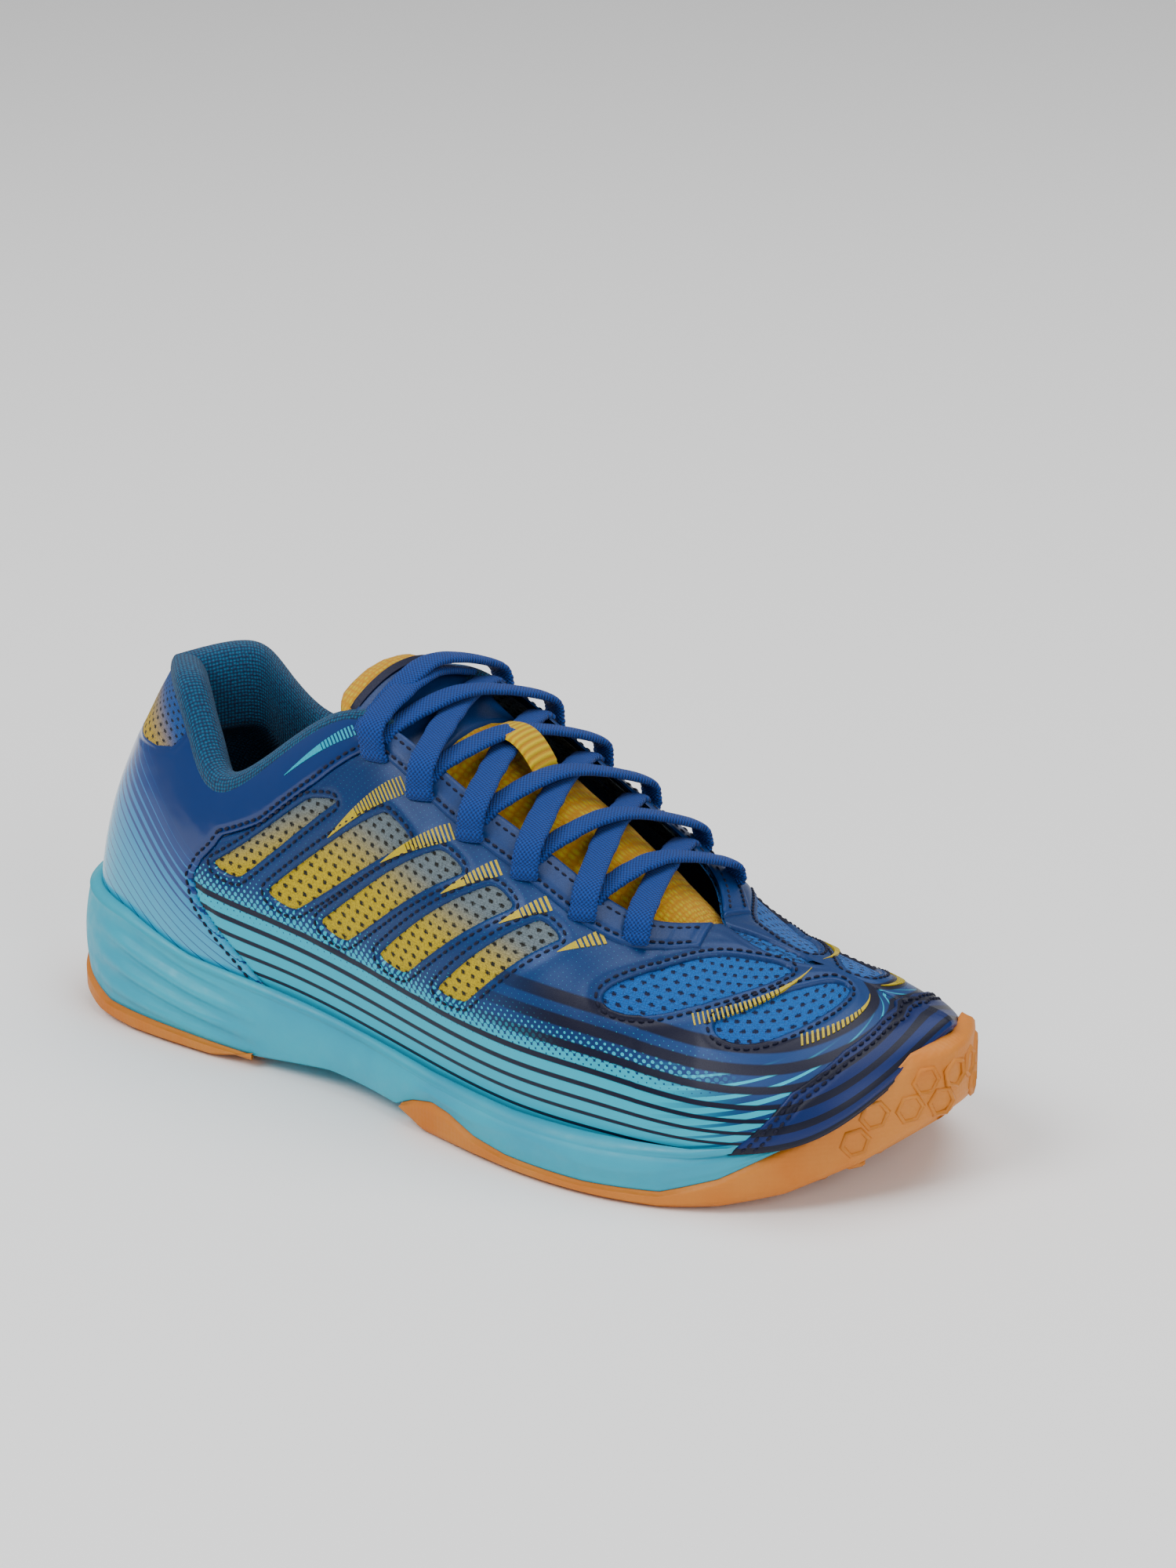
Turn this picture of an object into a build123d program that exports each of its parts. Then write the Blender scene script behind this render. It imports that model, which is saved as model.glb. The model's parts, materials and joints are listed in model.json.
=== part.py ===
"""Court shoe, right foot, EU 42, in millimetres.

Frame: +X from heel to toe, +Y to the inner (medial) side, +Z up. The origin is the
middle of the shoe's box, on the floor. The upper is described by ribs: each rib is a
cubic curve from the feather line, where upper meets sole, up to the top line, which is
the padded collar's ridge, then the throat's edge and then the middle of the vamp.
"""
from build123d import *
import math
import os

# Driving dimensions
WIDTH = 110.6
FLEX_X = 62.0            # ball line, where the sole bends
FLAP_X = -16.0           # where the tongue's free flap begins to bend
MESH = 1.2               # thickness of the mesh upper
OVERLAY = 0.9            # thickness of the bonded overlays
BOND_GAP = 0.25          # glue line between layers
WALL = 7.0               # sole rim outside the footbed
BOARD = 1.5
INSOLE = 4.0
PADDING = 6.0            # collar foam
STIFFENER = 1.8          # heel counter
LINING = 0.8
LACE_WIDTH = 6.5
LACE_THICK = 1.8

# Stations of the ribs, evenly spaced from heel to toe
FEATHER_X = [-139, -131, -113.5, -87, -56.5, -26.5, 4.5, 35.5, 64.5, 93, 118, 132, 139]
FEATHER_LATERAL = [2, -18.5, -28, -33, -32.5, -35, -41, -47, -48.5, -45, -36, -19.5, 9]
FEATHER_MEDIAL = [2, 24, 32.5, 35, 33, 33, 37, 44, 48.5, 48, 41, 27.5, 9]
FEATHER_Z = [38, 38, 35, 28, 24, 20, 16.5, 15, 15.5, 16.5, 21, 31, 42]
TOP_X = [-116, -101, -91.5, -76, -50, -24.5, 3, 31, 57.5, 73, 89, 104.5, 115]
TOP_HALF = [0, 17, 23.5, 29.5, 25.5, 24, 25, 23, 18, 0, 0, 0, 0]
TOP_Y = [2, 2, 2, 2, 2, 2, 2, 2, 2.5, 3, 4.5, 6.5, 9]
TOP_Z = [104, 106, 95, 83, 101, 109, 96, 81, 66, 62, 58.5, 55, 50.5]
RISE = [44, 40, 32, 26, 30, 34, 32, 28, 24, 20, 16, 11, 6]
LEAN = [-4, -4, 0, 3, 5, 5, 6, 6, 6, 5, 5, 4, 4]
REACH = [8, 9, 10, 12, 16, 20, 24, 25, 24, 24, 22, 18, 14]
DROP = [70, 70, 65, 60, 45, 35, 28, 20, 12, 4, 2, 2, 2]
THROAT_END = 0.75        # place along the stations where the throat closes

# Sole seen from above
LATERAL_EDGE = [(-144, 2), (-139.5, -15.5), (-130, -27), (-113, -33.5), (-84, -36.6), (-34, -38),
                (-4, -44.3), (26, -51.5), (51, -55), (73, -54), (94, -48), (114, -36), (131, -18.5),
                (142, -1), (144, 8)]
MEDIAL_EDGE = [(141, 19.5), (132, 34), (114, 47.3), (94, 53.5), (73, 55.5), (48, 53.5), (16, 47.3),
               (-11, 40), (-44, 37.5), (-84, 37.5), (-113, 36), (-130, 30), (-139.5, 19.5)]

# Sole seen from the side: x from the heel, then height
RIM_REAR = [(-150, 38), (-139, 37.7), (-113.5, 34.7), (-87, 27.7), (-56.5, 23.7), (-26.5, 19.7),
            (4.5, 16.2), (35.5, 14.7), (FLEX_X, 15.1)]
RIM_FRONT = [(FLEX_X, 15.1), (93, 16.2), (118, 20.7)]
RIM_TOE = [(118, 20.7), (132, 30.7), (139, 41.7)]
HEEL_GROUND = [(-150, 20), (-144, 12), (-136, 4.5), (-124, 1), (-110, 0)]
HEEL_RUBBER = [(-150, 26), (-138, 13), (-120, 6.5), (-85, 5), (-62, 4)]
ARCH = [(-62, 4), (-35, 6.5), (-8, 5)]
BALL_RUBBER = [(-8, 5), (-1, 8.5), (7, 10.5), (14, 9.5), (24, 6), (36, 4.3), (FLEX_X, 4)]
TOE_RUBBER = [(FLEX_X, 4), (85, 5), (100, 10), (118, 20.7)]
TREAD = [(85, 0), (100, 1.5), (115, 5), (130, 12), (150, 26)]
FOOTBED = [(-150, 25), (-140, 24), (-100, 21.5), (-60, 18), (-20, 14), (20, 10.5), (FLEX_X, 10),
           (90, 11), (115, 14.5), (128, 20.5), (150, 32)]
HEEL_TOE_BREAK = -66     # front end of the heel rubber on the floor
BALL_START = 2           # where the ball rubber meets the floor
ABOVE = 70               # a height above every part of the sole

# Tongue: middle line of its outer face, half width at each point
TONGUE_X = [70, 57, 31, 3, FLAP_X, -30, -41]
TONGUE_Z = [57, 66, 81.5, 96, 105.5, 113.5, 120]
TONGUE_HALF = [13, 14, 17, 19, 20, 20, 18]
TONGUE_SAG = 6.5
TONGUE_BEND = 4 / 6      # place along the tongue where the free flap begins
TONGUE_Y = 2.0

# Eyelets: stations of the six rows, heel end first, and height on the rib
EYELET_ROWS = [0.425, 0.475, 0.525, 0.575, 0.625, 0.67]
EYELET_T = 0.93
LACE_START = 2.2         # heights of a lace run above the upper: in the eyelet,
LACE_RISE = 4.4          # over the throat's edge,
LACE_END = 2.0           # and where it slips under the other edge
LACE_UNDER = 4.6         # heights above the tongue of the lower and upper run of a crossing
LACE_OVER = 7.8
LACE_STEPS = 10

# Grid of the upper's layers
STATIONS = 24
LEVELS = [0.03, 0.14, 0.28, 0.42, 0.56, 0.68, 0.80, 0.90, 1.0]
CREASE_END = 19          # station where the crease over the ball ends,
CREASE_GAP = 0.05        # and the gap that the forefoot's layers keep from it, in stations
TONGUE_STEPS = 12
TONGUE_COLUMNS = 6


def spline_value(values, u):
    """Height of the natural cubic spline through evenly spaced values, at u from 0 to 1."""
    count = len(values)
    slope = [0.0] * count
    work = [0.0] * count
    for i in range(1, count - 1):
        work[i] = 1 / (4 - work[i - 1])
        bend = 6 * (values[i - 1] - 2 * values[i] + values[i + 1])
        slope[i] = (bend - slope[i - 1]) * work[i]
    for i in range(count - 2, 0, -1):
        slope[i] -= work[i] * slope[i + 1]
    place = min(max(u, 0.0), 1.0) * (count - 1)
    i = min(int(place), count - 2)
    s = place - i
    cubic = slope[i] * ((1 - s) ** 3 - (1 - s)) + slope[i + 1] * (s ** 3 - s)
    return cubic / 6 + values[i] * (1 - s) + values[i + 1] * s


def rib(u, side):
    """Four control points of the rib at station u; side is -1 lateral, +1 medial."""
    edge_y = FEATHER_LATERAL if side < 0 else FEATHER_MEDIAL
    low, high = max(u - 0.001, 0.0), min(u + 0.001, 1.0)
    run_x = spline_value(FEATHER_X, high) - spline_value(FEATHER_X, low)
    run_y = spline_value(edge_y, high) - spline_value(edge_y, low)
    length = math.hypot(run_x, run_y)
    out_x, out_y = -side * run_y / length, side * run_x / length
    if u < 0.004:
        out_x, out_y = -1.0, 0.0
    if u > 0.996:
        out_x, out_y = 1.0, 0.0
    half = max(spline_value(TOP_HALF, u), 0.0) if u < THROAT_END else 0.0
    foot = Vector(spline_value(FEATHER_X, u), spline_value(edge_y, u), spline_value(FEATHER_Z, u))
    top = Vector(spline_value(TOP_X, u), spline_value(TOP_Y, u) + side * half, spline_value(TOP_Z, u))
    climb = 0.0
    if u > 0.7:
        top_run = spline_value(TOP_X, high) - spline_value(TOP_X, low)
        climb = (spline_value(TOP_Z, high) - spline_value(TOP_Z, low)) / top_run
    drop = math.radians(spline_value(DROP, u))
    lean = spline_value(LEAN, u)
    flat = math.cos(drop)
    fall = Vector(out_x * flat, out_y * flat, out_x * flat * climb - math.sin(drop))
    return foot, foot + Vector(out_x * lean, out_y * lean, spline_value(RISE, u)), \
        top + fall * spline_value(REACH, u), top


def on_rib(u, side, t):
    """Point of the outer surface at height t, 0 at the feather line and 1 at the top line.

    Past the heel, the toe or the vamp's middle line it goes on down the other side.
    """
    if u < 0 or u > 1:
        u, side = -u if u < 0 else 2 - u, -side
    if t > 1 and u >= THROAT_END:
        t, side = 2 - t, -side
    a, b, c, d = rib(u, side)
    s = 1 - t
    return a * s ** 3 + b * (3 * t * s * s) + c * (3 * t * t * s) + d * t ** 3


def outward(u, side, t):
    """Outward unit normal of the upper's surface."""
    du, dt = 0.006, 0.01
    if u > 1 - du:
        t = min(t, 0.96)     # the toe's own rib runs into the middle line here
    along = on_rib(u + du, side, t) - on_rib(u - du, side, t)
    up = on_rib(u, side, t + dt) - on_rib(u, side, t - dt)
    normal = along.cross(up) * -side
    return normal.normalized()


def at_depth(u, side, t, depth):
    """Point at a depth out from (positive) or in from (negative) the outer surface."""
    return on_rib(u, side, t) + outward(u, side, t) * depth


def faceted(cells, corner):
    """Closed solid of even thickness from four-cornered cells.

    Every cell lists its corner keys in order; corner(key) gives the low and high point.
    """
    keys = {key for cell in cells for key in cell}
    low = {key: corner(key)[0] for key in keys}
    high = {key: corner(key)[1] for key in keys}
    triangles = []
    edges = []
    for a, b, c, d in cells:
        for p, q, r in ((a, b, c), (a, c, d)):
            if len({p, q, r}) < 3:
                continue
            triangles += [(high[p], high[q], high[r]), (low[p], low[r], low[q])]
            edges += [(p, q), (q, r), (r, p)]
    for p, q in edges:
        if (q, p) not in edges:
            triangles += [(high[q], high[p], low[p]), (high[q], low[p], low[q])]
    faces = [Face(Wire.make_polygon(corners, close=True)) for corners in triangles]
    solid = Solid(Shell(faces))
    return solid if solid.volume > 0 else Solid(Shell([-face for face in faces]))


def layer(columns, rows, low, high, sides=(-1, 1)):
    """Layer of the upper over ranges of stations and heights, between two depths."""
    def key(i, side, j):
        seam = i in (0, STATIONS) or (i >= THROAT_END * STATIONS and j == len(LEVELS) - 1)
        return i, 0 if seam else side, j

    def corner(place):
        i, side, j = place
        ahead = CREASE_GAP if i == CREASE_END and columns[0] == i else 0.0
        u, t = (i + ahead) / STATIONS, LEVELS[j]
        return at_depth(u, side or 1, t, low), at_depth(u, side or 1, t, high)

    cells = []
    for side in sides:
        for i in range(*columns):
            for j in range(*rows):
                cell = [key(i, side, j), key(i + 1, side, j), key(i + 1, side, j + 1), key(i, side, j + 1)]
                cells.append(cell if side < 0 else cell[::-1])
    return faceted(cells, corner)


# ---------------------------------------------------------------- sole
def outline_face(inset=0.0):
    """The sole seen from above, or its outline drawn in by an even distance."""
    points = LATERAL_EDGE + MEDIAL_EDGE
    moved = []
    for i, (x, y) in enumerate(points):
        before, after = points[i - 1], points[(i + 1) % len(points)]
        run_x, run_y = after[0] - before[0], after[1] - before[1]
        length = math.hypot(run_x, run_y)
        moved.append((x - inset * run_y / length, y + inset * run_x / length))
    return make_face(Spline(*moved, periodic=True))


def side_block(*edges):
    """Block right across the shoe whose side view is the closed run of edges."""
    face = make_face(Wire(list(edges)))
    return extrude(Plane.XZ * face, amount=WIDTH, both=True)


def sole_layer(*edges):
    """Part of the sole's outline column with the given side view."""
    return extrude(outline_face(), amount=ABOVE) & side_block(*edges)


def above_footbed():
    first, last = FOOTBED[0], FOOTBED[-1]
    return side_block(Spline(*FOOTBED), Line(last, (last[0], 2 * ABOVE)),
                      Line((last[0], 2 * ABOVE), (first[0], 2 * ABOVE)), Line((first[0], 2 * ABOVE), first))


def footbed_layer(low, thick, inset):
    """Sheet of even thickness that lies on the footbed."""
    lower = [(x, z + low) for x, z in FOOTBED]
    upper = [(x, z + low + thick) for x, z in FOOTBED]
    sheet = side_block(Spline(*lower), Line(lower[-1], upper[-1]), Spline(*upper),
                       Line(lower[0], upper[0]))
    return extrude(outline_face(inset), amount=ABOVE) & sheet


def pocket(x, y, z, length, width, height):
    """Upright column with rounded ends that seats an insert."""
    return extrude(Pos(x, y, z) * SlotOverall(length, width), amount=height)


def build_sole():
    over_bed = above_footbed()
    well = extrude(outline_face(WALL), amount=ABOVE) & over_bed
    heel_break = (HEEL_TOE_BREAK, 0)
    outsole_heel = sole_layer(Spline(*HEEL_GROUND), Line(HEEL_GROUND[-1], heel_break),
                              Line(heel_break, HEEL_RUBBER[-1]), Spline(*HEEL_RUBBER),
                              Line(HEEL_RUBBER[0], HEEL_GROUND[0]))
    start, knee = (BALL_START, 0), (BALL_RUBBER[0][0] + 3, 1.2)
    outsole_ball = sole_layer(Spline(*BALL_RUBBER), Line(BALL_RUBBER[-1], (FLEX_X, 0)),
                              Line((FLEX_X, 0), start), Line(start, knee),
                              Line(knee, BALL_RUBBER[0]))
    toe_top = RIM_TOE[-1]
    outsole_toe = sole_layer(Spline(*TOE_RUBBER), Spline(*RIM_TOE), Line(toe_top, (150, toe_top[1])),
                             Line((150, toe_top[1]), TREAD[-1]), Spline(*TREAD),
                             Line(TREAD[0], (FLEX_X, 0)), Line((FLEX_X, 0), TOE_RUBBER[0])) - well
    midsole_rear = sole_layer(Spline(*HEEL_RUBBER), Spline(*ARCH), Spline(*BALL_RUBBER),
                              Line(BALL_RUBBER[-1], RIM_REAR[-1]), Spline(*RIM_REAR),
                              Line(RIM_REAR[0], HEEL_RUBBER[0])) - well
    midsole_front = sole_layer(Spline(*TOE_RUBBER), Spline(*RIM_FRONT),
                               Line(RIM_FRONT[0], TOE_RUBBER[0])) - well
    heel_pocket = pocket(-102, 2, 12, 46, 36, ABOVE)
    ball_pocket = pocket(76, 4, 7, 22, 20, ABOVE)
    shank_plate = pocket(-35, 2, 5.6, 48, 34, 1.8)
    shank_pocket = pocket(-35, 2, 0, 48, 34, 7.4)
    nodes = {
        "outsole_heel": outsole_heel,
        "outsole_ball": outsole_ball,
        "outsole_toe": outsole_toe,
        "midsole_rear": midsole_rear - heel_pocket - shank_pocket,
        "midsole_front": midsole_front - ball_pocket,
        "heel_cushion": heel_pocket - over_bed,
        "forefoot_cushion": ball_pocket - over_bed,
        "shank_plate": shank_plate,
        "lasting_board": footbed_layer(0.05, BOARD, WALL + 0.3),
        "insole": footbed_layer(0.1 + BOARD, INSOLE, WALL + 0.5),
    }
    return nodes


# ---------------------------------------------------------------- upper
def build_upper():
    inside = -MESH - BOND_GAP
    over = (BOND_GAP, BOND_GAP + OVERLAY)
    stiff = (inside - STIFFENER, inside)
    lining = (stiff[0] - BOND_GAP - LINING, stiff[0] - BOND_GAP)
    foam = (inside - PADDING, inside)
    knit = (foam[0] - BOND_GAP - LINING, foam[0] - BOND_GAP)
    top = len(LEVELS) - 1
    nodes = {}
    for side, name in ((-1, "lateral"), (1, "medial")):
        one = (side,)
        nodes["quarter_mesh_" + name] = layer((5, 15), (0, top), -MESH, 0, one)
        nodes["claw_overlay_" + name] = layer((6, 15), (0, 7), *over, one)
        nodes["collar_overlay_" + name] = layer((2, 6), (4, 7), *over, one)
        nodes["eyestay_" + name] = layer((10, 15), (6, top), inside - OVERLAY, inside, one)
        nodes["quarter_lining_" + name] = layer((5, 15), (1, 5), *lining, one)
    nodes["heel_mesh"] = layer((0, 5), (0, top), -MESH, 0)
    nodes["heel_overlay"] = layer((0, 6), (0, 4), *over)
    nodes["heel_collar_patch"] = layer((0, 2), (4, 7), *over)
    nodes["heel_counter"] = layer((0, 5), (0, 4), *stiff)
    nodes["heel_lining"] = layer((0, 5), (1, 4), *lining)
    nodes["collar_padding"] = layer((0, 8), (5, 7), *foam)
    nodes["collar_lining"] = layer((0, 8), (5, 7), *knit)
    nodes["vamp_crease"] = layer((15, 19), (0, top), -MESH, 0)
    nodes["vamp_mesh"] = layer((19, STATIONS), (0, top), -MESH, 0)
    nodes["vamp_overlay"] = layer((19, 21), (0, top), *over)
    nodes["toe_cap"] = layer((21, STATIONS), (1, top), *over)
    nodes["vamp_lining"] = layer((19, 21), (1, top), inside - LINING, inside)
    nodes["toe_puff"] = layer((21, STATIONS), (1, top), inside - LINING, inside)
    return nodes


# ---------------------------------------------------------------- tongue
def on_tongue(place, across, height):
    """Point at a place along the tongue (0 root, 1 top), across from -1 to 1, above its face."""
    x, z = spline_value(TONGUE_X, place), spline_value(TONGUE_Z, place)
    half = spline_value(TONGUE_HALF, place)
    low, high = place - 0.01, place + 0.01
    run = spline_value(TONGUE_X, high) - spline_value(TONGUE_X, low)
    climb = spline_value(TONGUE_Z, high) - spline_value(TONGUE_Z, low)
    scale = height / math.hypot(run, climb)
    lift = TONGUE_SAG * across ** 2
    return Vector(x + climb * scale, TONGUE_Y + across * half, z - run * scale - lift)


def tongue_layer(places, reach, low, high):
    """Layer of the tongue between two of its length steps and out to a share of its width."""
    def corner(key):
        place, across = key[0] / TONGUE_STEPS, reach * (key[1] / TONGUE_COLUMNS * 2 - 1)
        return on_tongue(place, across, low), on_tongue(place, across, high)

    cells = [[(i, j), (i + 1, j), (i + 1, j + 1), (i, j + 1)]
             for i in range(*places) for j in range(TONGUE_COLUMNS)]
    return faceted(cells, corner)


def build_tongue():
    nodes = {}
    bend = round(TONGUE_BEND * TONGUE_STEPS)
    for name, places in (("tongue", (0, bend)), ("flap", (bend, TONGUE_STEPS))):
        nodes[name + "_mesh"] = tongue_layer(places, 1.0, -1.0, 0)
        nodes[name + "_padding"] = tongue_layer(places, 1.0, -5.2, -1.0)
        nodes[name + "_lining"] = tongue_layer(places, 1.0, -6.0, -5.2)
    nodes["tongue_panel"] = tongue_layer((bend, TONGUE_STEPS - 1), 0.94, BOND_GAP, 1.0)
    nodes["tongue_binding"] = tongue_layer((TONGUE_STEPS - 1, TONGUE_STEPS), 0.94, BOND_GAP, 1.0)
    nodes["lace_loop"] = tongue_layer((bend - 3, bend - 1), 0.3, BOND_GAP, 1.2)
    return nodes


# ---------------------------------------------------------------- lace
def tongue_height(x):
    """Height of the tongue's middle line at x."""
    for x0, x1, z0, z1 in zip(TONGUE_X, TONGUE_X[1:], TONGUE_Z, TONGUE_Z[1:]):
        if x1 <= x <= x0:
            return z0 + (z1 - z0) * (x0 - x) / (x0 - x1)
    return TONGUE_Z[0] if x > TONGUE_X[0] else TONGUE_Z[-1]


def lace_span(row, side):
    """One visible run of the lace, out of an eyelet and across to the other throat edge."""
    start_u = EYELET_ROWS[row]
    end_u = EYELET_ROWS[row - 1] if row else start_u - 0.02
    start = at_depth(start_u, side, EYELET_T, LACE_START)
    rise = at_depth(start_u - 0.006, side, 1.0, LACE_RISE)
    end = at_depth(end_u, -side, 1.0, LACE_END)
    middle = (rise + end) * 0.5
    crown = LACE_UNDER if side < 0 else LACE_OVER
    over = Vector(middle.X, middle.Y, tongue_height(middle.X) + crown)
    path = Spline(start, rise, over, end + (over - end) * 0.12)

    def corner(key):
        place = key[0] / LACE_STEPS
        point, along = path @ place, path % place
        across = Vector(0, 0, 1).cross(along).normalized() * (LACE_WIDTH / 2 * key[1])
        return point + across, point + across + Vector(0, 0, LACE_THICK)

    cells = [[(i, -1), (i + 1, -1), (i + 1, 1), (i, 1)] for i in range(LACE_STEPS)]
    return faceted(cells, corner)


def build_lace():
    spans = [lace_span(row, side) for row in range(len(EYELET_ROWS)) for side in (-1, 1)]
    return {"lace": Compound(children=spans)}


def main():
    os.makedirs("parts", exist_ok=True)
    for build in (build_sole, build_upper, build_tongue, build_lace):
        for name, solid in build().items():
            export_step(solid, f"parts/{name}.step")


main()
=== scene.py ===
"""Court shoe, right foot: visible skins, foam, rubber, tongue and laces over the CAD frame.

Lengths in this file are millimetres in the frame's axes, +X from heel to toe and +Y to the
inner (medial) side; they become metres when a mesh is made.
"""
import bmesh
import bpy
import json
import math
import numpy as np
from mathutils import Matrix, Vector

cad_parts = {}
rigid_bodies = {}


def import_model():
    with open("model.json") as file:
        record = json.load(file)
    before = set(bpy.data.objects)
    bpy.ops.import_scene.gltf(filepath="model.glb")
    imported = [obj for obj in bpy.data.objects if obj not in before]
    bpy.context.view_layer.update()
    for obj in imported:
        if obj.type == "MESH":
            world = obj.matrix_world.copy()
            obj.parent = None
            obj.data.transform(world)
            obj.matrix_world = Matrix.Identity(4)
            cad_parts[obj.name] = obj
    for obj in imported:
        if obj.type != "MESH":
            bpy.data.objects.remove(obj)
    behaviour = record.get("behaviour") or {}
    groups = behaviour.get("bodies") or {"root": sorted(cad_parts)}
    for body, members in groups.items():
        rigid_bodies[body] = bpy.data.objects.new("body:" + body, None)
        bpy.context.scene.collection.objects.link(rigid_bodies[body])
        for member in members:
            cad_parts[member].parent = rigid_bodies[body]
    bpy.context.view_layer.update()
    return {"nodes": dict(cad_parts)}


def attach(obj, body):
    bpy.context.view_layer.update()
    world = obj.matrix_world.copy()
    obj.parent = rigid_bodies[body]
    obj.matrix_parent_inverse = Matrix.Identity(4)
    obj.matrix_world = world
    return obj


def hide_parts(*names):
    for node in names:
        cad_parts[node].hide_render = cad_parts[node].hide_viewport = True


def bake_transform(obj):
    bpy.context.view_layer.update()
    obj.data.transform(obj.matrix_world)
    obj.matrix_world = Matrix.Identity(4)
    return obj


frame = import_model()

MM = 0.001
LATERAL, MEDIAL = -1, 1

# ---------------------------------------------------------------- last of the upper
FEATHER_X = [-139, -131, -113.5, -87, -56.5, -26.5, 4.5, 35.5, 64.5, 93, 118, 132, 139]
FEATHER_LATERAL = [2, -18.5, -28, -33, -32.5, -35, -41, -47, -48.5, -45, -36, -19.5, 9]
FEATHER_MEDIAL = [2, 24, 32.5, 35, 33, 33, 37, 44, 48.5, 48, 41, 27.5, 9]
FEATHER_Z = [38, 38, 35, 28, 24, 20, 16.5, 15, 15.5, 16.5, 21, 31, 42]
TOP_X = [-116, -101, -91.5, -76, -50, -24.5, 3, 31, 57.5, 73, 89, 104.5, 115]
TOP_HALF = [0, 17, 23.5, 29.5, 25.5, 24, 25, 23, 18, 0, 0, 0, 0]
TOP_Y = [2, 2, 2, 2, 2, 2, 2, 2, 2.5, 3, 4.5, 6.5, 9]
TOP_Z = [104, 106, 95, 83, 101, 109, 96, 81, 66, 61, 57, 54, 50.5]
RISE = [44, 40, 32, 26, 30, 34, 32, 28, 24, 20, 16, 11, 6]
LEAN = [-4, -4, 0, 3, 5, 5, 6, 6, 6, 5, 5, 4, 4]
REACH = [8, 9, 10, 12, 16, 20, 24, 25, 24, 24, 22, 18, 14]
DROP = [70, 70, 65, 60, 45, 35, 28, 20, 12, 4, 2, 2, 2]
THROAT_END = 0.75

# Sole: its middle line's y, then seen from above, then from the side as (x, z)
SOLE_MIDDLE = 2
LATERAL_EDGE = [(-144, 2), (-139.5, -15.5), (-130, -27), (-113, -33.5), (-84, -36.6), (-34, -38),
                (-4, -44.3), (26, -51.5), (51, -55), (73, -54), (94, -48), (114, -36),
                (131, -18.5), (142, -1), (144, 8)]
MEDIAL_EDGE = [(141, 19.5), (132, 34), (114, 47.3), (94, 53.5), (73, 55.5), (48, 53.5),
               (16, 47.3), (-11, 40), (-44, 37.5), (-84, 37.5), (-113, 36), (-130, 30),
               (-139.5, 19.5)]
RIM = [(-150, 38), (-139, 37.7), (-113.5, 34.7), (-87, 27.7), (-56.5, 23.7), (-26.5, 19.7),
       (4.5, 16.2), (35.5, 14.7), (62, 15.1), (93, 16.2), (118, 20.7), (130, 30.2), (138, 40.4),
       (150, 42)]
GROUND = [(-150, 20), (-144, 12), (-136, 4.5), (-124, 1), (-110, 0), (-78, 0), (-61, 4.3),
          (-8, 5.2), (3, 0), (85, 0), (100, 1.5), (115, 5), (130, 12), (150, 26)]
FOAM_FOOT = [(-150, 26), (-138, 13), (-120, 6.5), (-85, 5), (-62, 4), (-35, 6.5), (-8, 5),
             (-1, 8.5), (7, 10.5), (14, 9.5), (24, 6), (36, 4.3), (62, 4), (85, 5), (100, 10),
             (118, 20.7), (129, 30.0), (136, 41.8), (150, 46)]
FOOTBED = [(-150, 25), (-140, 24), (-100, 21.5), (-60, 18), (-20, 14), (20, 10.5), (62, 10),
           (90, 11), (115, 14.5), (128, 20.5), (150, 32)]

# Tongue: middle line from its root to its top, and half width
TONGUE_X = [70, 57, 31, 3, -16, -30, -41]
TONGUE_Z = [57, 66, 81.5, 96, 105.5, 113.5, 119]
TONGUE_HALF = [15, 17, 20, 22, 24, 25, 22]
TONGUE_MIDDLE = 2.0
TONGUE_SAG = 6.5            # how far its sides fall below its middle
TONGUE_LENGTH = 130         # of its flat pattern, and half its width
TONGUE_HALF_CLOTH = 24

# Eyelet rows, heel end first
EYELET_ROWS = [0.425, 0.475, 0.525, 0.575, 0.625, 0.67]


def spline_value(values, u):
    """Natural cubic spline through evenly spaced values, at u from 0 to 1."""
    count = len(values)
    slope = [0.0] * count
    work = [0.0] * count
    for i in range(1, count - 1):
        work[i] = 1 / (4 - work[i - 1])
        slope[i] = (6 * (values[i - 1] - 2 * values[i] + values[i + 1]) - slope[i - 1]) * work[i]
    for i in range(count - 2, 0, -1):
        slope[i] -= work[i] * slope[i + 1]
    values = np.array(values, float)
    slope = np.array(slope)
    place = np.clip(u, 0, 1) * (count - 1)
    i = np.minimum(place.astype(int), count - 2)
    s = place - i
    bend = slope[i] * ((1 - s) ** 3 - (1 - s)) + slope[i + 1] * (s ** 3 - s)
    return bend / 6 + values[i] * (1 - s) + values[i + 1] * s


def profile(line, x):
    """Height of a side line given as (x, z) corners."""
    return np.interp(x, [p[0] for p in line], [p[1] for p in line])


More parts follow.
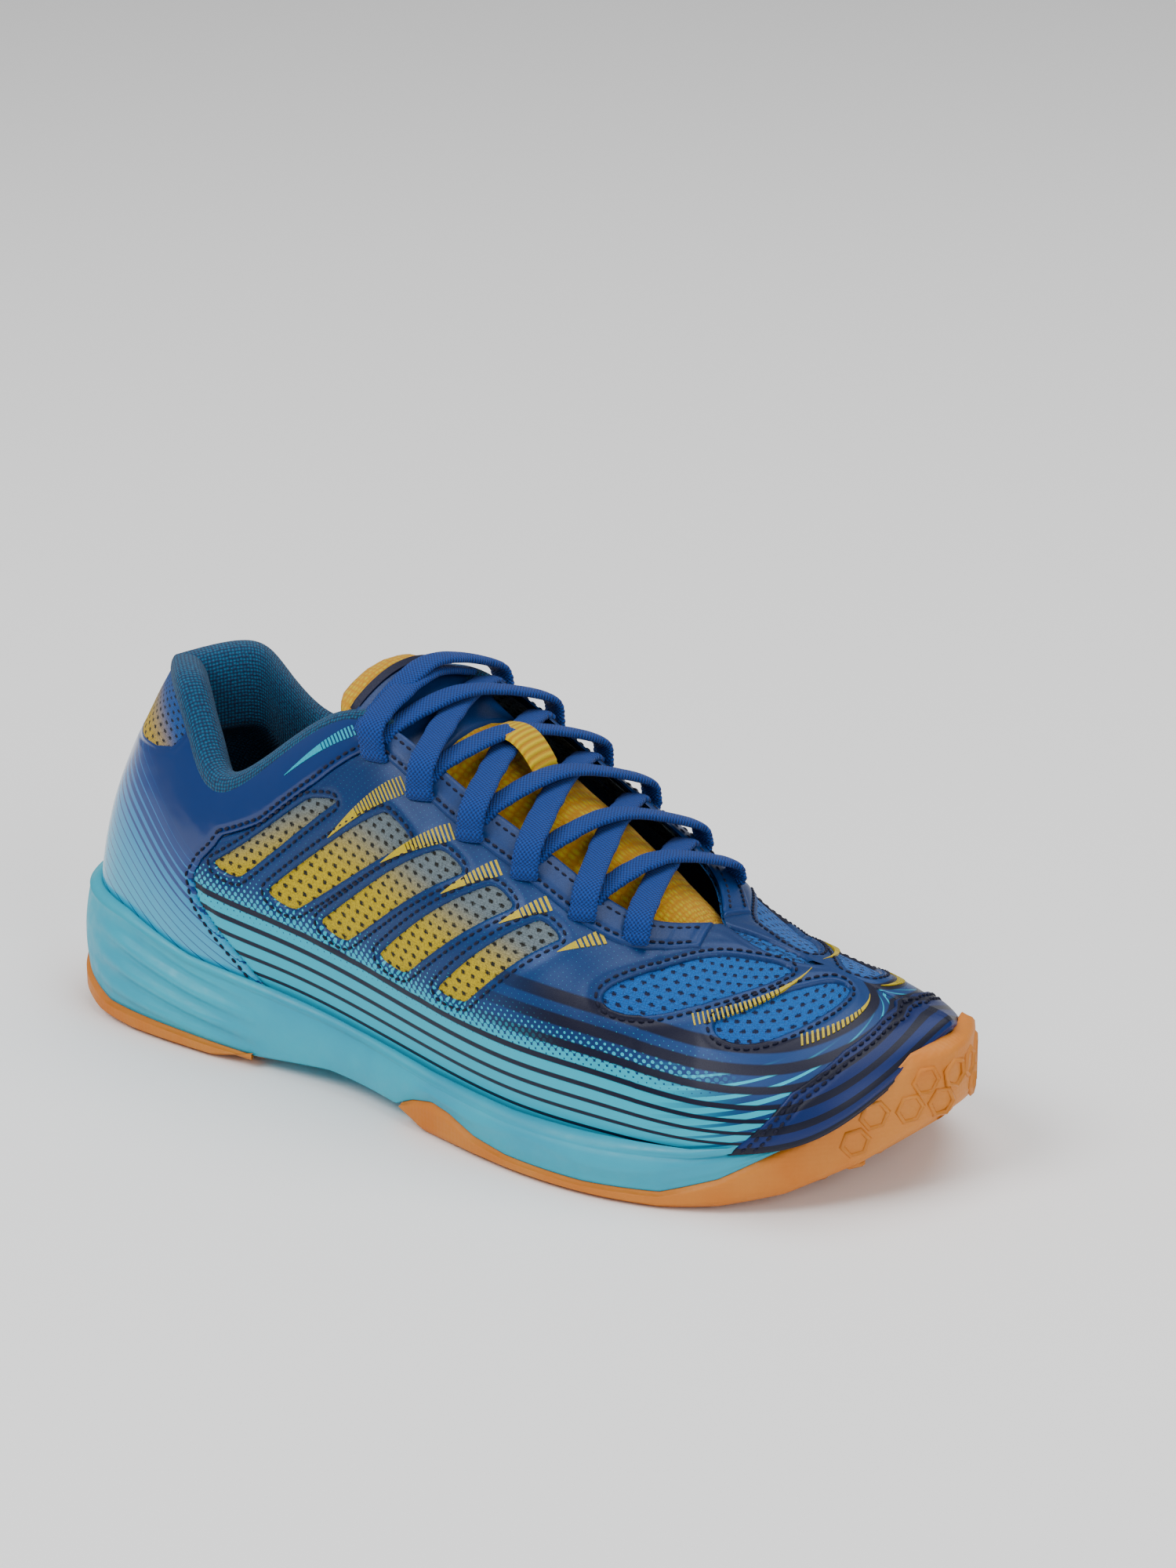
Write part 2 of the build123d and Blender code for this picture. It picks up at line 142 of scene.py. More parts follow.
def last_point(u, side, t):
    """Outer surface of the upper: u along it, t from the feather line up to the top line."""
    u, side, t = [np.array(a, float) for a in np.broadcast_arrays(u, side, t)]
    past = u < 0
    u[past] *= -1
    side[past] *= -1
    past = u > 1
    u[past] = 2 - u[past]
    side[past] *= -1
    over = (t > 1) & (u >= THROAT_END)
    t[over] = 2 - t[over]
    side[over] *= -1

    def edge(place):
        return np.where(side < 0, spline_value(FEATHER_LATERAL, place),
                        spline_value(FEATHER_MEDIAL, place))

    low = np.clip(u - 0.001, 0, 1)
    high = np.clip(u + 0.001, 0, 1)
    run_x = spline_value(FEATHER_X, high) - spline_value(FEATHER_X, low)
    run_y = edge(high) - edge(low)
    length = np.hypot(run_x, run_y)
    ends = (u < 0.004) | (u > 0.996)
    out_x = np.where(u < 0.004, -1, np.where(u > 0.996, 1, -side * run_y / length))
    out_y = np.where(ends, 0, side * run_x / length)
    half = np.where(u < THROAT_END, np.maximum(spline_value(TOP_HALF, u), 0), 0)
    foot = np.stack([spline_value(FEATHER_X, u), edge(u), spline_value(FEATHER_Z, u)], -1)
    top = np.stack([spline_value(TOP_X, u), spline_value(TOP_Y, u) + side * half,
                    spline_value(TOP_Z, u)], -1)
    slope = (spline_value(TOP_Z, high) - spline_value(TOP_Z, low))
    slope = slope / (spline_value(TOP_X, high) - spline_value(TOP_X, low))
    climb = np.where(u > 0.7, slope, 0)
    drop = np.radians(spline_value(DROP, u))
    flat = np.cos(drop)
    fall = np.stack([out_x * flat, out_y * flat, out_x * flat * climb - np.sin(drop)], -1)
    lean = spline_value(LEAN, u)
    second = foot + np.stack([out_x * lean, out_y * lean, spline_value(RISE, u)], -1)
    third = top + fall * spline_value(REACH, u)[..., None]
    s = (1 - t)[..., None]
    t = t[..., None]
    return foot * s ** 3 + second * 3 * t * s * s + third * 3 * t * t * s + top * t ** 3


def last_normal(u, side, t):
    """Unit vector out of the upper's surface."""
    u, side, t = [np.array(a, float) for a in np.broadcast_arrays(u, side, t)]
    t = np.where((u > 0.985) & (t > 0.94), 0.94, t)
    reach = np.where(u >= THROAT_END, 0.01, np.minimum(0.01, 1 - t))
    along = last_point(u + 0.004, side, t) - last_point(u - 0.004, side, t)
    up = last_point(u, side, t + reach) - last_point(u, side, t - 0.01)
    normal = np.cross(along, up) * (-side)[..., None]
    return normal / np.maximum(np.linalg.norm(normal, axis=-1, keepdims=True), 1e-9)


def on_last(u, side, t, height):
    """Point at a height over the upper's surface."""
    height = np.asarray(height, float)
    return last_point(u, side, t) + last_normal(u, side, t) * height[..., None]


# Flat pattern of each side: distance along the shoe and up the rib, so that panels, stitches
# and prints are laid out in millimetres
PATTERN_U = np.linspace(-0.6, 1.2, 361)
PATTERN_LENGTH = {}
PATTERN_RIB = {}
for pattern_side in (LATERAL, MEDIAL):
    line = last_point(PATTERN_U, pattern_side, 0.45)
    step = np.linalg.norm(np.diff(line, axis=0), axis=1)
    PATTERN_LENGTH[pattern_side] = np.concatenate([[0], np.cumsum(step)])
    ribs = last_point(PATTERN_U[:, None], pattern_side, np.linspace(0, 1, 21)[None, :])
    PATTERN_RIB[pattern_side] = np.linalg.norm(np.diff(ribs, axis=1), axis=2).sum(1)


def to_pattern(u, side, t):
    """Flat millimetres of places on the upper."""
    along = np.interp(u, PATTERN_U, PATTERN_LENGTH[side])
    return np.stack([along, t * np.interp(u, PATTERN_U, PATTERN_RIB[side])], -1)


def from_pattern(flat, side):
    """Places on the upper of flat millimetres."""
    u = np.interp(flat[..., 0], PATTERN_LENGTH[side], PATTERN_U)
    return u, flat[..., 1] / np.interp(u, PATTERN_U, PATTERN_RIB[side])


def soften(corners, rounds=3, share=0.22):
    """Closed outline with its corners cut round."""
    line = np.array(corners, float)
    for _ in range(rounds):
        after = np.roll(line, -1, axis=0)
        line = np.stack([line * (1 - share) + after * share,
                         line * share + after * (1 - share)], 1).reshape(-1, 2)
        share = 0.25
    return line


def inside_distance(points, outline):
    """Distance of flat points from a closed outline, positive inside it."""
    start = outline
    run = np.roll(outline, -1, axis=0) - start
    gap = points[:, None, :] - start[None]
    share = np.clip((gap * run).sum(-1) / np.maximum((run * run).sum(-1), 1e-9), 0, 1)
    distance = np.linalg.norm(gap - run * share[..., None], axis=-1).min(1)
    end = start + run
    spans = (start[:, 1] > points[:, None, 1]) != (end[:, 1] > points[:, None, 1])
    rise = np.where(np.abs(run[:, 1]) < 1e-9, 1e-9, run[:, 1])
    reach = start[:, 0] + (points[:, None, 1] - start[:, 1]) / rise * run[:, 0]
    odd = (spans & (points[:, None, 0] < reach)).sum(1) % 2 == 1
    return np.where(odd, distance, -distance)


def flat_outline(corners, side, rounds=3, share=0.22):
    """Flat closed outline from (u, t) corners, softened."""
    corners = np.array(corners, float)
    return soften(to_pattern(corners[:, 0], side, corners[:, 1]), rounds, share)


# ---------------------------------------------------------------- panels, as (u, t) corners
MESH_WINDOWS = [
    [(0.262, 0.47), (0.294, 0.395), (0.398, 0.655), (0.360, 0.66)],
    [(0.322, 0.345), (0.354, 0.285), (0.485, 0.70), (0.452, 0.72)],
    [(0.380, 0.275), (0.410, 0.245), (0.536, 0.74), (0.510, 0.76)],
    [(0.446, 0.265), (0.478, 0.265), (0.582, 0.74), (0.560, 0.77)],
    [(0.511, 0.285), (0.542, 0.300), (0.622, 0.74), (0.603, 0.765)],
]
VAMP_WINDOWS = [
    [(0.664, 0.62), (0.668, 0.54), (0.700, 0.53), (0.760, 0.64), (0.835, 0.83), (0.852, 0.90),
     (0.820, 0.91), (0.752, 0.84), (0.700, 0.74)],
    [(0.762, 0.55), (0.770, 0.49), (0.800, 0.49), (0.850, 0.60), (0.905, 0.78), (0.925, 0.87),
     (0.890, 0.88), (0.835, 0.76), (0.785, 0.62)],
]
HEEL_SEAM = [(0.268, 0.62), (0.262, 0.55), (0.252, 0.47), (0.247, 0.37), (0.257, 0.27),
             (0.278, 0.17), (0.298, 0.09), (0.330, -0.03)]
COLLAR_SEAM = [(0.268, 0.62), (0.310, 0.62), (0.367, 0.71), (0.405, 0.82), (0.432, 0.93),
               (0.440, 1.02)]
TOE_SEAM = [(0.765, -0.03), (0.780, 0.02), (0.833, 0.29), (0.885, 0.45), (0.940, 0.62),
            (0.975, 0.70), (1.02, 0.74)]
PATCH_EDGE = [(0.0, 0.50), (0.05, 0.52), (0.09, 0.55), (0.127, 0.62), (0.150, 0.72), (0.156, 0.84),
              (0.152, 0.95)]

SATIN_AREA = HEEL_SEAM[::-1] + COLLAR_SEAM[1:] + [(0.55, 1.02), (0.75, 1.02), (1.04, 1.02),
                                                  (1.04, -0.03), (0.65, -0.03)]


def rounded_edge(distance, radius):
    """Share of the full height that a skin has at a distance inside its cut edge."""
    share = np.clip(distance / radius, 0, 1)
    return np.sqrt(1 - (1 - share) ** 2)


def trimmed(us, ts, field):
    """Grid over u and t, cut along the line where field is zero."""
    grid_u, grid_t = np.meshgrid(us, ts, indexing="ij")
    value = field(grid_u.ravel(), grid_t.ravel())
    points = [tuple(p) for p in np.stack([grid_u.ravel(), grid_t.ravel()], -1)]
    columns = len(ts)
    crossings = {}
    faces = []

    def crossing(a, b):
        key = (min(a, b), max(a, b))
        if key not in crossings:
            share = value[key[0]] / (value[key[0]] - value[key[1]])
            first, second = points[key[0]], points[key[1]]
            crossings[key] = len(points)
            points.append((first[0] + (second[0] - first[0]) * share,
                           first[1] + (second[1] - first[1]) * share))
        return crossings[key]

    for i in range(len(us) - 1):
        for j in range(columns - 1):
            a = i * columns + j
            cell = [a, a + columns, a + columns + 1, a + 1]
            kept = [value[k] > 0 for k in cell]
            if all(kept):
                faces.append(cell)
                continue
            if not any(kept):
                continue
            for corner in (cell[:3], [cell[0], cell[2], cell[3]]):
                loop = []
                for k in range(3):
                    p, q = corner[k], corner[(k + 1) % 3]
                    if value[p] > 0:
                        loop.append(p)
                    if (value[p] > 0) != (value[q] > 0):
                        loop.append(crossing(p, q))
                if len(loop) > 2:
                    faces.append(loop)
    used = sorted({k for f in faces for k in f})
    place = {k: n for n, k in enumerate(used)}
    return np.array([points[k] for k in used]), [[place[k] for k in f] for f in faces]


# ---------------------------------------------------------------- making meshes
def linked(name, data):
    """Object in the scene that shows this data."""
    piece = bpy.data.objects.new(name, data)
    bpy.context.scene.collection.objects.link(piece)
    return piece


def make_piece(name, points, faces, material, cloth=None, place=None, smooth=True):
    """Mesh piece from millimetres; cloth is its flat pattern and place its (u, t, side)."""
    mesh = bpy.data.meshes.new(name)
    mesh.from_pydata([tuple(p) for p in np.asarray(points) * MM], [], faces)
    mesh.update()
    for key, values in (("cloth", cloth), ("place", place)):
        if values is not None:
            layer = mesh.attributes.new(key, "FLOAT_VECTOR", "POINT")
            layer.data.foreach_set("vector", np.asarray(values, np.float32).ravel())
    mesh.materials.append(material)
    if smooth:
        mesh.polygons.foreach_set("use_smooth", [True] * len(mesh.polygons))
    return linked(name, mesh)


def grid_faces(rows, columns):
    """Four-cornered faces over points stored row by row."""
    return [[i * columns + j, i * columns + j + 1, (i + 1) * columns + j + 1,
             (i + 1) * columns + j] for i in range(rows - 1) for j in range(columns - 1)]


def baked_nodes(holder, tree, values, name):
    """Plain mesh piece from an object that feeds a geometry node tree."""
    modifier = holder.modifiers.new(name, "NODES")
    modifier.node_group = tree
    sockets = {item.name: item.identifier for item in tree.interface.items_tree
               if item.in_out == "INPUT"}
    for label, value in values.items():
        modifier[sockets[label]] = value
    view = bpy.context.evaluated_depsgraph_get()
    mesh = bpy.data.meshes.new_from_object(holder.evaluated_get(view), depsgraph=view)
    mesh.name = name
    bpy.data.objects.remove(holder)
    return linked(name, mesh)


def node_tree(name, source, sizes, result):
    """Empty geometry node tree with its sockets: a geometry, lengths and a finish in."""
    tree = bpy.data.node_groups.new(name, "GeometryNodeTree")
    face = tree.interface
    face.new_socket(source, in_out="INPUT", socket_type="NodeSocketGeometry")
    for label, value in sizes:
        socket = face.new_socket(label, in_out="INPUT", socket_type="NodeSocketFloat")
        socket.default_value = value
    face.new_socket("Finish", in_out="INPUT", socket_type="NodeSocketMaterial")
    face.new_socket(result, in_out="OUTPUT", socket_type="NodeSocketGeometry")
    start = tree.nodes.new("NodeGroupInput")
    placed = tree.nodes.new("GeometryNodeInstanceOnPoints")
    real = tree.nodes.new("GeometryNodeRealizeInstances")
    dressed = tree.nodes.new("GeometryNodeSetMaterial")
    end = tree.nodes.new("NodeGroupOutput")
    tree.links.new(placed.outputs[0], real.inputs[0])
    tree.links.new(real.outputs[0], dressed.inputs["Geometry"])
    tree.links.new(start.outputs["Finish"], dressed.inputs["Material"])
    tree.links.new(dressed.outputs[0], end.inputs[0])
    return tree, start, placed


def weld(piece, distance=0.02):
    """Joins points that lie closer than a distance in millimetres."""
    work = bmesh.new()
    work.from_mesh(piece.data)
    bmesh.ops.remove_doubles(work, verts=work.verts, dist=distance * MM)
    work.to_mesh(piece.data)
    work.free()
    return piece


def stitch_channel(distance, offset=2.0, depth=0.35, width=0.9):
    """Shallow groove that a seam line presses into a skin."""
    return -depth * np.exp(-((distance - offset) / width) ** 2)


def skin(name, sides, span, rise, steps, field, low, high, material, edge=1.0, relief=None):
    """Skin bonded on the upper: full height inside, rounded down to low along its cut edge."""
    points, faces, cloth, place = [], [], [], []
    count = 0
    us = np.linspace(*span, steps[0])
    ts = np.linspace(*rise, steps[1])
    for side in sides:
        flat, loops = trimmed(us, ts, lambda u, t: field(u, side, t))
        u, t = flat[:, 0], flat[:, 1]
        distance = field(u, side, t)
        height = low + (high - low) * rounded_edge(np.maximum(distance, 0), edge)
        if relief is not None:
            height = height + relief(u, side, t, distance)
        points.append(on_last(u, side, t, height))
        pattern = to_pattern(u, side, t)
        cloth.append(np.column_stack([pattern, np.full(len(u), side * 10.0)]))
        place.append(np.column_stack([u, t, distance]))
        faces += [[k + count for k in (f if side < 0 else f[::-1])] for f in loops]
        count += len(u)
    piece = make_piece(name, np.concatenate(points), faces, material, np.concatenate(cloth),
                       np.concatenate(place))
    return weld(piece)


# ---------------------------------------------------------------- materials
RICHNESS = 1.12        # studio light washes colours out; these put them back
DEPTH = 0.50


class Finish:
    """A procedural material under construction."""

    def __init__(self, name, colour=(0.5, 0.5, 0.5), rough=0.5, **sockets):
        self.material = bpy.data.materials.new(name)
        self.material.use_nodes = True
        self.tree = self.material.node_tree
        self.shader = self.tree.nodes["Principled BSDF"]
        self.shader.inputs["Base Color"].default_value = (*colour, 1)
        self.shader.inputs["Roughness"].default_value = rough
        for key, value in sockets.items():
            self.shader.inputs[key.replace("_", " ")].default_value = value

    def node(self, kind, values=None, **settings):
        made = self.tree.nodes.new(kind)
        for key, value in settings.items():
            setattr(made, key, value)
        for key, value in (values or {}).items():
            if isinstance(value, bpy.types.NodeSocket):
                self.tree.links.new(value, made.inputs[key])
            else:
                made.inputs[key].default_value = value
        return made

    def attribute(self, name):
        return self.node("ShaderNodeAttribute", attribute_name=name).outputs["Vector"]

    def objects(self):
        return self.node("ShaderNodeTexCoord").outputs["Object"]

    def split(self, vector):
        return self.node("ShaderNodeSeparateXYZ", {0: vector}).outputs

    def join(self, x, y, z=0.0):
        return self.node("ShaderNodeCombineXYZ", {0: x, 1: y, 2: z}).outputs[0]

    def math(self, operation, a, b=0.0, c=0.0):
        return self.node("ShaderNodeMath", {0: a, 1: b, 2: c}, operation=operation).outputs[0]

    def ramp(self, value, low, high, to_low=0.0, to_high=1.0):
        return self.node("ShaderNodeMapRange", {0: value, 1: low, 2: high, 3: to_low, 4: to_high},
                         interpolation_type="SMOOTHSTEP").outputs[0]

    def mix(self, share, a, b):
        made = self.node("ShaderNodeMix", data_type="RGBA")
        for key, value in ((0, share), (6, a), (7, b)):
            if isinstance(value, bpy.types.NodeSocket):
                self.tree.links.new(value, made.inputs[key])
            else:
                made.inputs[key].default_value = value if key == 0 else (*value, 1)
        return made.outputs[2]

    def noise(self, vector, scale, detail=2.0):
        return self.node("ShaderNodeTexNoise", {"Vector": vector, "Scale": scale,
                                                "Detail": detail}).outputs[0]

    def cells(self, vector, scale, feature="F1", randomness=1.0):
        made = self.node("ShaderNodeTexVoronoi", {"Vector": vector, "Scale": scale,
                                                  "Randomness": randomness}, feature=feature)
        return made.outputs["Distance"]

    def colour(self, socket):
        self.tree.links.new(socket, self.shader.inputs["Base Color"])

    def rough(self, socket):
        self.tree.links.new(socket, self.shader.inputs["Roughness"])

    def bump(self, height, strength=0.5, distance=0.0005):
        made = self.node("ShaderNodeBump", {"Height": height, "Strength": strength,
                                            "Distance": distance})
        self.tree.links.new(made.outputs[0], self.shader.inputs["Normal"])


def srgb(red, green, blue):
    """Linear colour from 0 to 255 values."""
    def linear(value):
        value = value / 255
        return value / 12.92 if value <= 0.04045 else ((value + 0.055) / 1.055) ** 2.4

    colour = [linear(value) for value in (red, green, blue)]
    grey = sum(colour) / 3
    return tuple(min(max((grey + (value - grey) * RICHNESS) * DEPTH, 0.002), 1.0)
                 for value in colour)


CYAN = srgb(30, 224, 255)
SATIN = srgb(0, 76, 140)
NAVY = srgb(12, 20, 52)
YELLOW = srgb(255, 222, 70)
GREY_MESH = srgb(140, 156, 164)
ROYAL = srgb(28, 84, 170)


def holes(finish, cloth, pitch=3.6):
    """Clusters of holes in staggered rows; gives 1 in a hole."""
    x, y = finish.split(cloth)[0:2]
    row = finish.math("FLOOR", finish.math("DIVIDE", y, pitch * 0.8))
    shift = finish.math("MULTIPLY", finish.math("MODULO", finish.math("ADD", row, 1000.0), 2.0),
                        pitch * 0.5)
    px = finish.math("SUBTRACT", finish.math("FRACT", finish.math(
        "DIVIDE", finish.math("ADD", x, shift), pitch)), 0.5)
    py = finish.math("SUBTRACT", finish.math("FRACT", finish.math("DIVIDE", y, pitch * 0.8)), 0.5)
    wide = finish.math("POWER", finish.math("MULTIPLY", px, 2.6), 2.0)
    tall = finish.math("POWER", finish.math("MULTIPLY", py, 2.9), 2.0)
    cluster = finish.math("ADD", wide, tall)
    threads = finish.cells(cloth, 1.35, "F1", 0.35)
    edge = finish.math("ADD", cluster, finish.math("MULTIPLY", threads, 0.9))
    return finish.ramp(edge, 0.55, 1.0, 1.0, 0.0)


def window_mesh(name, base, faded, hole_colour, fade_from, fade_to, axis=1):
    """Open sandwich mesh whose colour fades along the shoe or up it."""
    finish = Finish(name, rough=0.75, Sheen_Weight=0.04, Specular_IOR_Level=0.25)
    cloth = finish.attribute("cloth")
    place = finish.split(finish.attribute("place"))
    share = finish.ramp(place[axis], fade_from, fade_to)
    weave = finish.noise(cloth, 1.6, 3)
    tint = finish.mix(share, base, faded)
    tint = finish.mix(finish.ramp(weave, 0.35, 0.7, 0.0, 0.35), tint, (0.02, 0.02, 0.02))
    hole = holes(finish, cloth)
    finish.colour(finish.mix(hole, tint, hole_colour))
    knit = finish.cells(cloth, 1.5, "F1", 0.5)
    raised = finish.math("SUBTRACT", finish.math("MULTIPLY", knit, 0.6), hole)
    finish.bump(raised, 0.9, 0.0008)
    return finish.material


def stripes(finish, value, lines):
    """1 on each stripe of lines, given as (middle, half width)."""
    total = None
    for middle, half in lines:
        gap = finish.math("ABSOLUTE", finish.math("SUBTRACT", value, middle))
        line = finish.ramp(gap, half * 0.8, half * 1.2, 1.0, 0.0)
        total = line if total is None else finish.math("MAXIMUM", total, line)
    return total


def satin_print():
    """Blue satin skin: cyan band at the foot with dots fading up, and curved navy stripes."""
    finish = Finish("satin_blue_skin_print", rough=0.4, Metallic=0.12, Specular_IOR_Level=0.28)
    cloth = finish.attribute("cloth")
    x, y = finish.split(cloth)[0:2]
    station = finish.split(finish.attribute("place"))[0]
    turned = finish.node("ShaderNodeMapping", {"Vector": cloth, "Rotation": (0, 0, 0.6)})
    turned = turned.outputs[0]
    dots = finish.cells(turned, 0.60, "F1", 0.0)
    # the dots shrink as they climb from the cyan band
    climb = finish.math("ADD", y, finish.math("MULTIPLY", finish.math("SUBTRACT", station, 0.45),
                                              -4.0))
    solid = finish.ramp(climb, 12.0, 33.0, 0.78, 0.04)
    dotted = finish.math("LESS_THAN", dots, solid)
    toe_fade = finish.ramp(station, 0.70, 0.80, 0.0, 1.0)
    streak = finish.math("FRACT", finish.math("DIVIDE", finish.math(
        "ADD", y, finish.math("MULTIPLY", x, -0.22)), 3.6))
    streak = finish.math("LESS_THAN", streak, finish.ramp(y, 6.0, 30.0, 0.72, 0.15))
    streak = finish.math("MULTIPLY", streak, finish.ramp(y, 24.0, 30.0, 1.0, 0.0))
    band = finish.mix(toe_fade, (0, 0, 0), (1, 1, 1))
    cyan = finish.node("ShaderNodeMix", data_type="FLOAT")
    finish.tree.links.new(band, cyan.inputs[0])
    finish.tree.links.new(dotted, cyan.inputs[2])
    finish.tree.links.new(streak, cyan.inputs[3])
    cloud = finish.noise(cloth, 0.02, 2)
    blue = finish.mix(finish.ramp(cloud, 0.3, 0.7), SATIN, srgb(6, 66, 126))
    blue = finish.mix(finish.ramp(y, 40.0, 90.0, 0.0, 0.5), blue, srgb(6, 52, 104))
    tint = finish.mix(cyan.outputs[0], blue, CYAN)
    sweep = finish.math("ADD", y, finish.math("MULTIPLY", finish.math(
        "POWER", finish.math("MAXIMUM", finish.math("SUBTRACT", station, 0.45), 0.0), 2.0), 30.0))
    line = stripes(finish, sweep, [(3.2, 0.5), (7.2, 0.55), (11.2, 0.6), (15.4, 0.7), (19.8, 0.85),
                                   (25.0, 1.2), (31.0, 1.6), (37.5, 1.9)])
    front = finish.ramp(station, 0.52, 0.64, 0.0, 1.0)
    high = finish.math("GREATER_THAN", sweep, 22.0)
    shown = finish.math("MULTIPLY", line, finish.math(
        "MAXIMUM", finish.math("SUBTRACT", 1.0, high), front))
    finish.colour(finish.mix(shown, tint, NAVY))
    grain = finish.noise(cloth, 3.0, 3)
    finish.rough(finish.ramp(grain, 0.3, 0.7, 0.34, 0.46))
    finish.bump(finish.math("ADD", grain, finish.noise(cloth, 0.25, 2)), 0.12, 0.0003)
    return finish.material


def cap_print():
    """Navy toe cap skin with darker sweeping stripes."""
    finish = Finish("navy_skin_cap", rough=0.42, Metallic=0.1, Specular_IOR_Level=0.28)
    cloth = finish.attribute("cloth")
    y = finish.split(cloth)[1]
    tint = finish.mix(finish.ramp(y, 2.0, 38.0), srgb(8, 52, 120), srgb(8, 40, 92))
    wave = finish.math("FRACT", finish.math("DIVIDE", y, 6.4))
    line = finish.math("LESS_THAN", wave, 0.42)
    finish.colour(finish.mix(line, tint, srgb(10, 22, 50)))
    grain = finish.noise(cloth, 3.0, 3)
    finish.rough(finish.ramp(grain, 0.3, 0.7, 0.36, 0.5))
    finish.bump(grain, 0.12, 0.0003)
    return finish.material


def heel_print():
    """Glossy heel skin: pale blue with fine navy pinstripes, darkening to patent blue above."""
    finish = Finish("patent_blue_heel", rough=0.16, Coat_Weight=0.3, Coat_Roughness=0.08,
                    Specular_IOR_Level=0.3)
    cloth = finish.attribute("cloth")
    y = finish.split(cloth)[1]
    place = finish.split(finish.attribute("place"))
    x = finish.split(cloth)[0]
    slant = finish.math("ADD", y, finish.math("MULTIPLY", x, 0.28))
    wave = finish.math("FRACT", finish.math("DIVIDE", slant, 2.5))
    rise = finish.ramp(finish.math("ADD", place[1], finish.math("MULTIPLY", place[0], 0.55)),
                       0.22, 0.72)
    line = finish.math("LESS_THAN", wave, finish.ramp(rise, 0.0, 0.9, 0.10, 0.95))
    pale = finish.mix(finish.ramp(place[1], 0.0, 0.5), srgb(80, 212, 255), srgb(6, 140, 220))
    tint = finish.mix(line, pale, srgb(6, 74, 150))
    tint = finish.mix(finish.ramp(rise, 0.75, 1.0), tint, srgb(0, 64, 132))
    finish.colour(tint)
    wave = finish.noise(cloth, 0.06, 2)
    finish.rough(finish.ramp(wave, 0.3, 0.7, 0.12, 0.22))
    finish.bump(wave, 0.35, 0.002)
    return finish.material


def knit(name, dark, light, scale=1.0, rough=0.8):
    """Ribbed knit: rows of small loops."""
    finish = Finish(name, rough=rough, Sheen_Weight=0.08, Specular_IOR_Level=0.25)
    cloth = finish.attribute("cloth")
    loops = finish.cells(cloth, 0.95 * scale, "F1", 0.25)
    fine = finish.noise(cloth, 4.0 * scale, 2)
    raised = finish.math("ADD", loops, finish.math("MULTIPLY", fine, 0.4))
    finish.colour(finish.mix(finish.ramp(raised, 0.25, 0.8), light, dark))
    finish.bump(finish.math("SUBTRACT", 1.0, raised), 0.9, 0.0007)
    return finish.material


def rubber():
    """Gum rubber, slightly worn."""
    finish = Finish("gum_rubber", rough=0.62)
    spot = finish.objects()
    fine = finish.cells(spot, 700.0, "F1", 0.2)
    wear = finish.noise(spot, 40.0, 4)
    finish.colour(finish.mix(finish.ramp(wear, 0.3, 0.75), srgb(255, 164, 76), srgb(250, 146, 58)))
    finish.rough(finish.ramp(wear, 0.3, 0.7, 0.55, 0.7))
    finish.bump(fine, 0.35, 0.0004)
    return finish.material


def foam():
    """Moulded foam skin, faintly clouded."""
    finish = Finish("midsole_foam", rough=0.5)
    spot = finish.objects()
    cloud = finish.noise(spot, 30.0, 3)
    finish.colour(finish.mix(finish.ramp(cloud, 0.3, 0.7), srgb(30, 216, 244),
                             srgb(20, 196, 230)))
    finish.rough(finish.ramp(finish.noise(spot, 300.0, 2), 0.3, 0.7, 0.42, 0.58))
    finish.bump(finish.noise(spot, 2500.0, 2), 0.12, 0.0002)
    return finish.material


def plain_skin(name, tint, rough=0.45, sheen=0.0):
    """One colour with a fine grain."""
    finish = Finish(name, rough=rough, Sheen_Weight=sheen, Specular_IOR_Level=0.28)
    grain = finish.noise(finish.objects(), 3000.0, 3)
    shade = tuple(c * 0.75 for c in tint)
    finish.colour(finish.mix(finish.ramp(grain, 0.3, 0.7), tint, shade))
    finish.rough(finish.ramp(grain, 0.3, 0.7, rough - 0.06, rough + 0.08))
    finish.bump(grain, 0.2, 0.0003)
    return finish.material


def woven(name, light, dark, pitch=0.8, ribs=False):
    """Flat weave read along and across the band."""
    finish = Finish(name, rough=0.75, Sheen_Weight=0.04, Specular_IOR_Level=0.25)
    x, y = finish.split(finish.attribute("cloth"))[0:2]
    along = finish.math("SINE", finish.math("MULTIPLY", x, 2 * math.pi / pitch))
    across = finish.math("SINE", finish.math("MULTIPLY", y, 2 * math.pi / (pitch * 1.1)))
    weave = along if ribs else finish.math("MULTIPLY", along, across)
    fine = finish.noise(finish.attribute("cloth"), 5.0, 2)
    raised = finish.math("ADD", finish.math("MULTIPLY", weave, 0.5), finish.math(
        "MULTIPLY", fine, 0.5))
    finish.colour(finish.mix(finish.ramp(raised, -0.35, 0.65), dark, light))
    finish.bump(raised, 0.8, 0.0005)
    return finish.material


satin_skin_finish = satin_print()
cap_finish = cap_print()
heel_finish = heel_print()
rubber_finish = rubber()
foam_finish = foam()
quarter_mesh_finish = window_mesh("window_mesh_yellow", YELLOW, GREY_MESH, srgb(30, 32, 26),
                                  0.42, 0.66)
vamp_mesh_finish = window_mesh("vamp_mesh_blue", srgb(20, 116, 214), srgb(28, 128, 220),
                               srgb(12, 28, 70), 0.0, 1.0)
patch_finish = window_mesh("heel_patch_mesh", srgb(246, 206, 80), srgb(14, 106, 190),
                           srgb(14, 20, 34), 0.56, 0.80)
lining_finish = knit("lining_knit", srgb(2, 58, 100), srgb(6, 132, 178))
tongue_mesh_finish = knit("yellow_mesh", srgb(240, 172, 30), srgb(255, 232, 84), 0.5)
panel_finish = plain_skin("tongue_skin", srgb(2, 72, 138), 0.4)
navy_finish = plain_skin("navy_backing", srgb(18, 24, 64), 0.55)
stitch_finish = plain_skin("navy_thread", srgb(14, 20, 56), 0.7, 0.03)
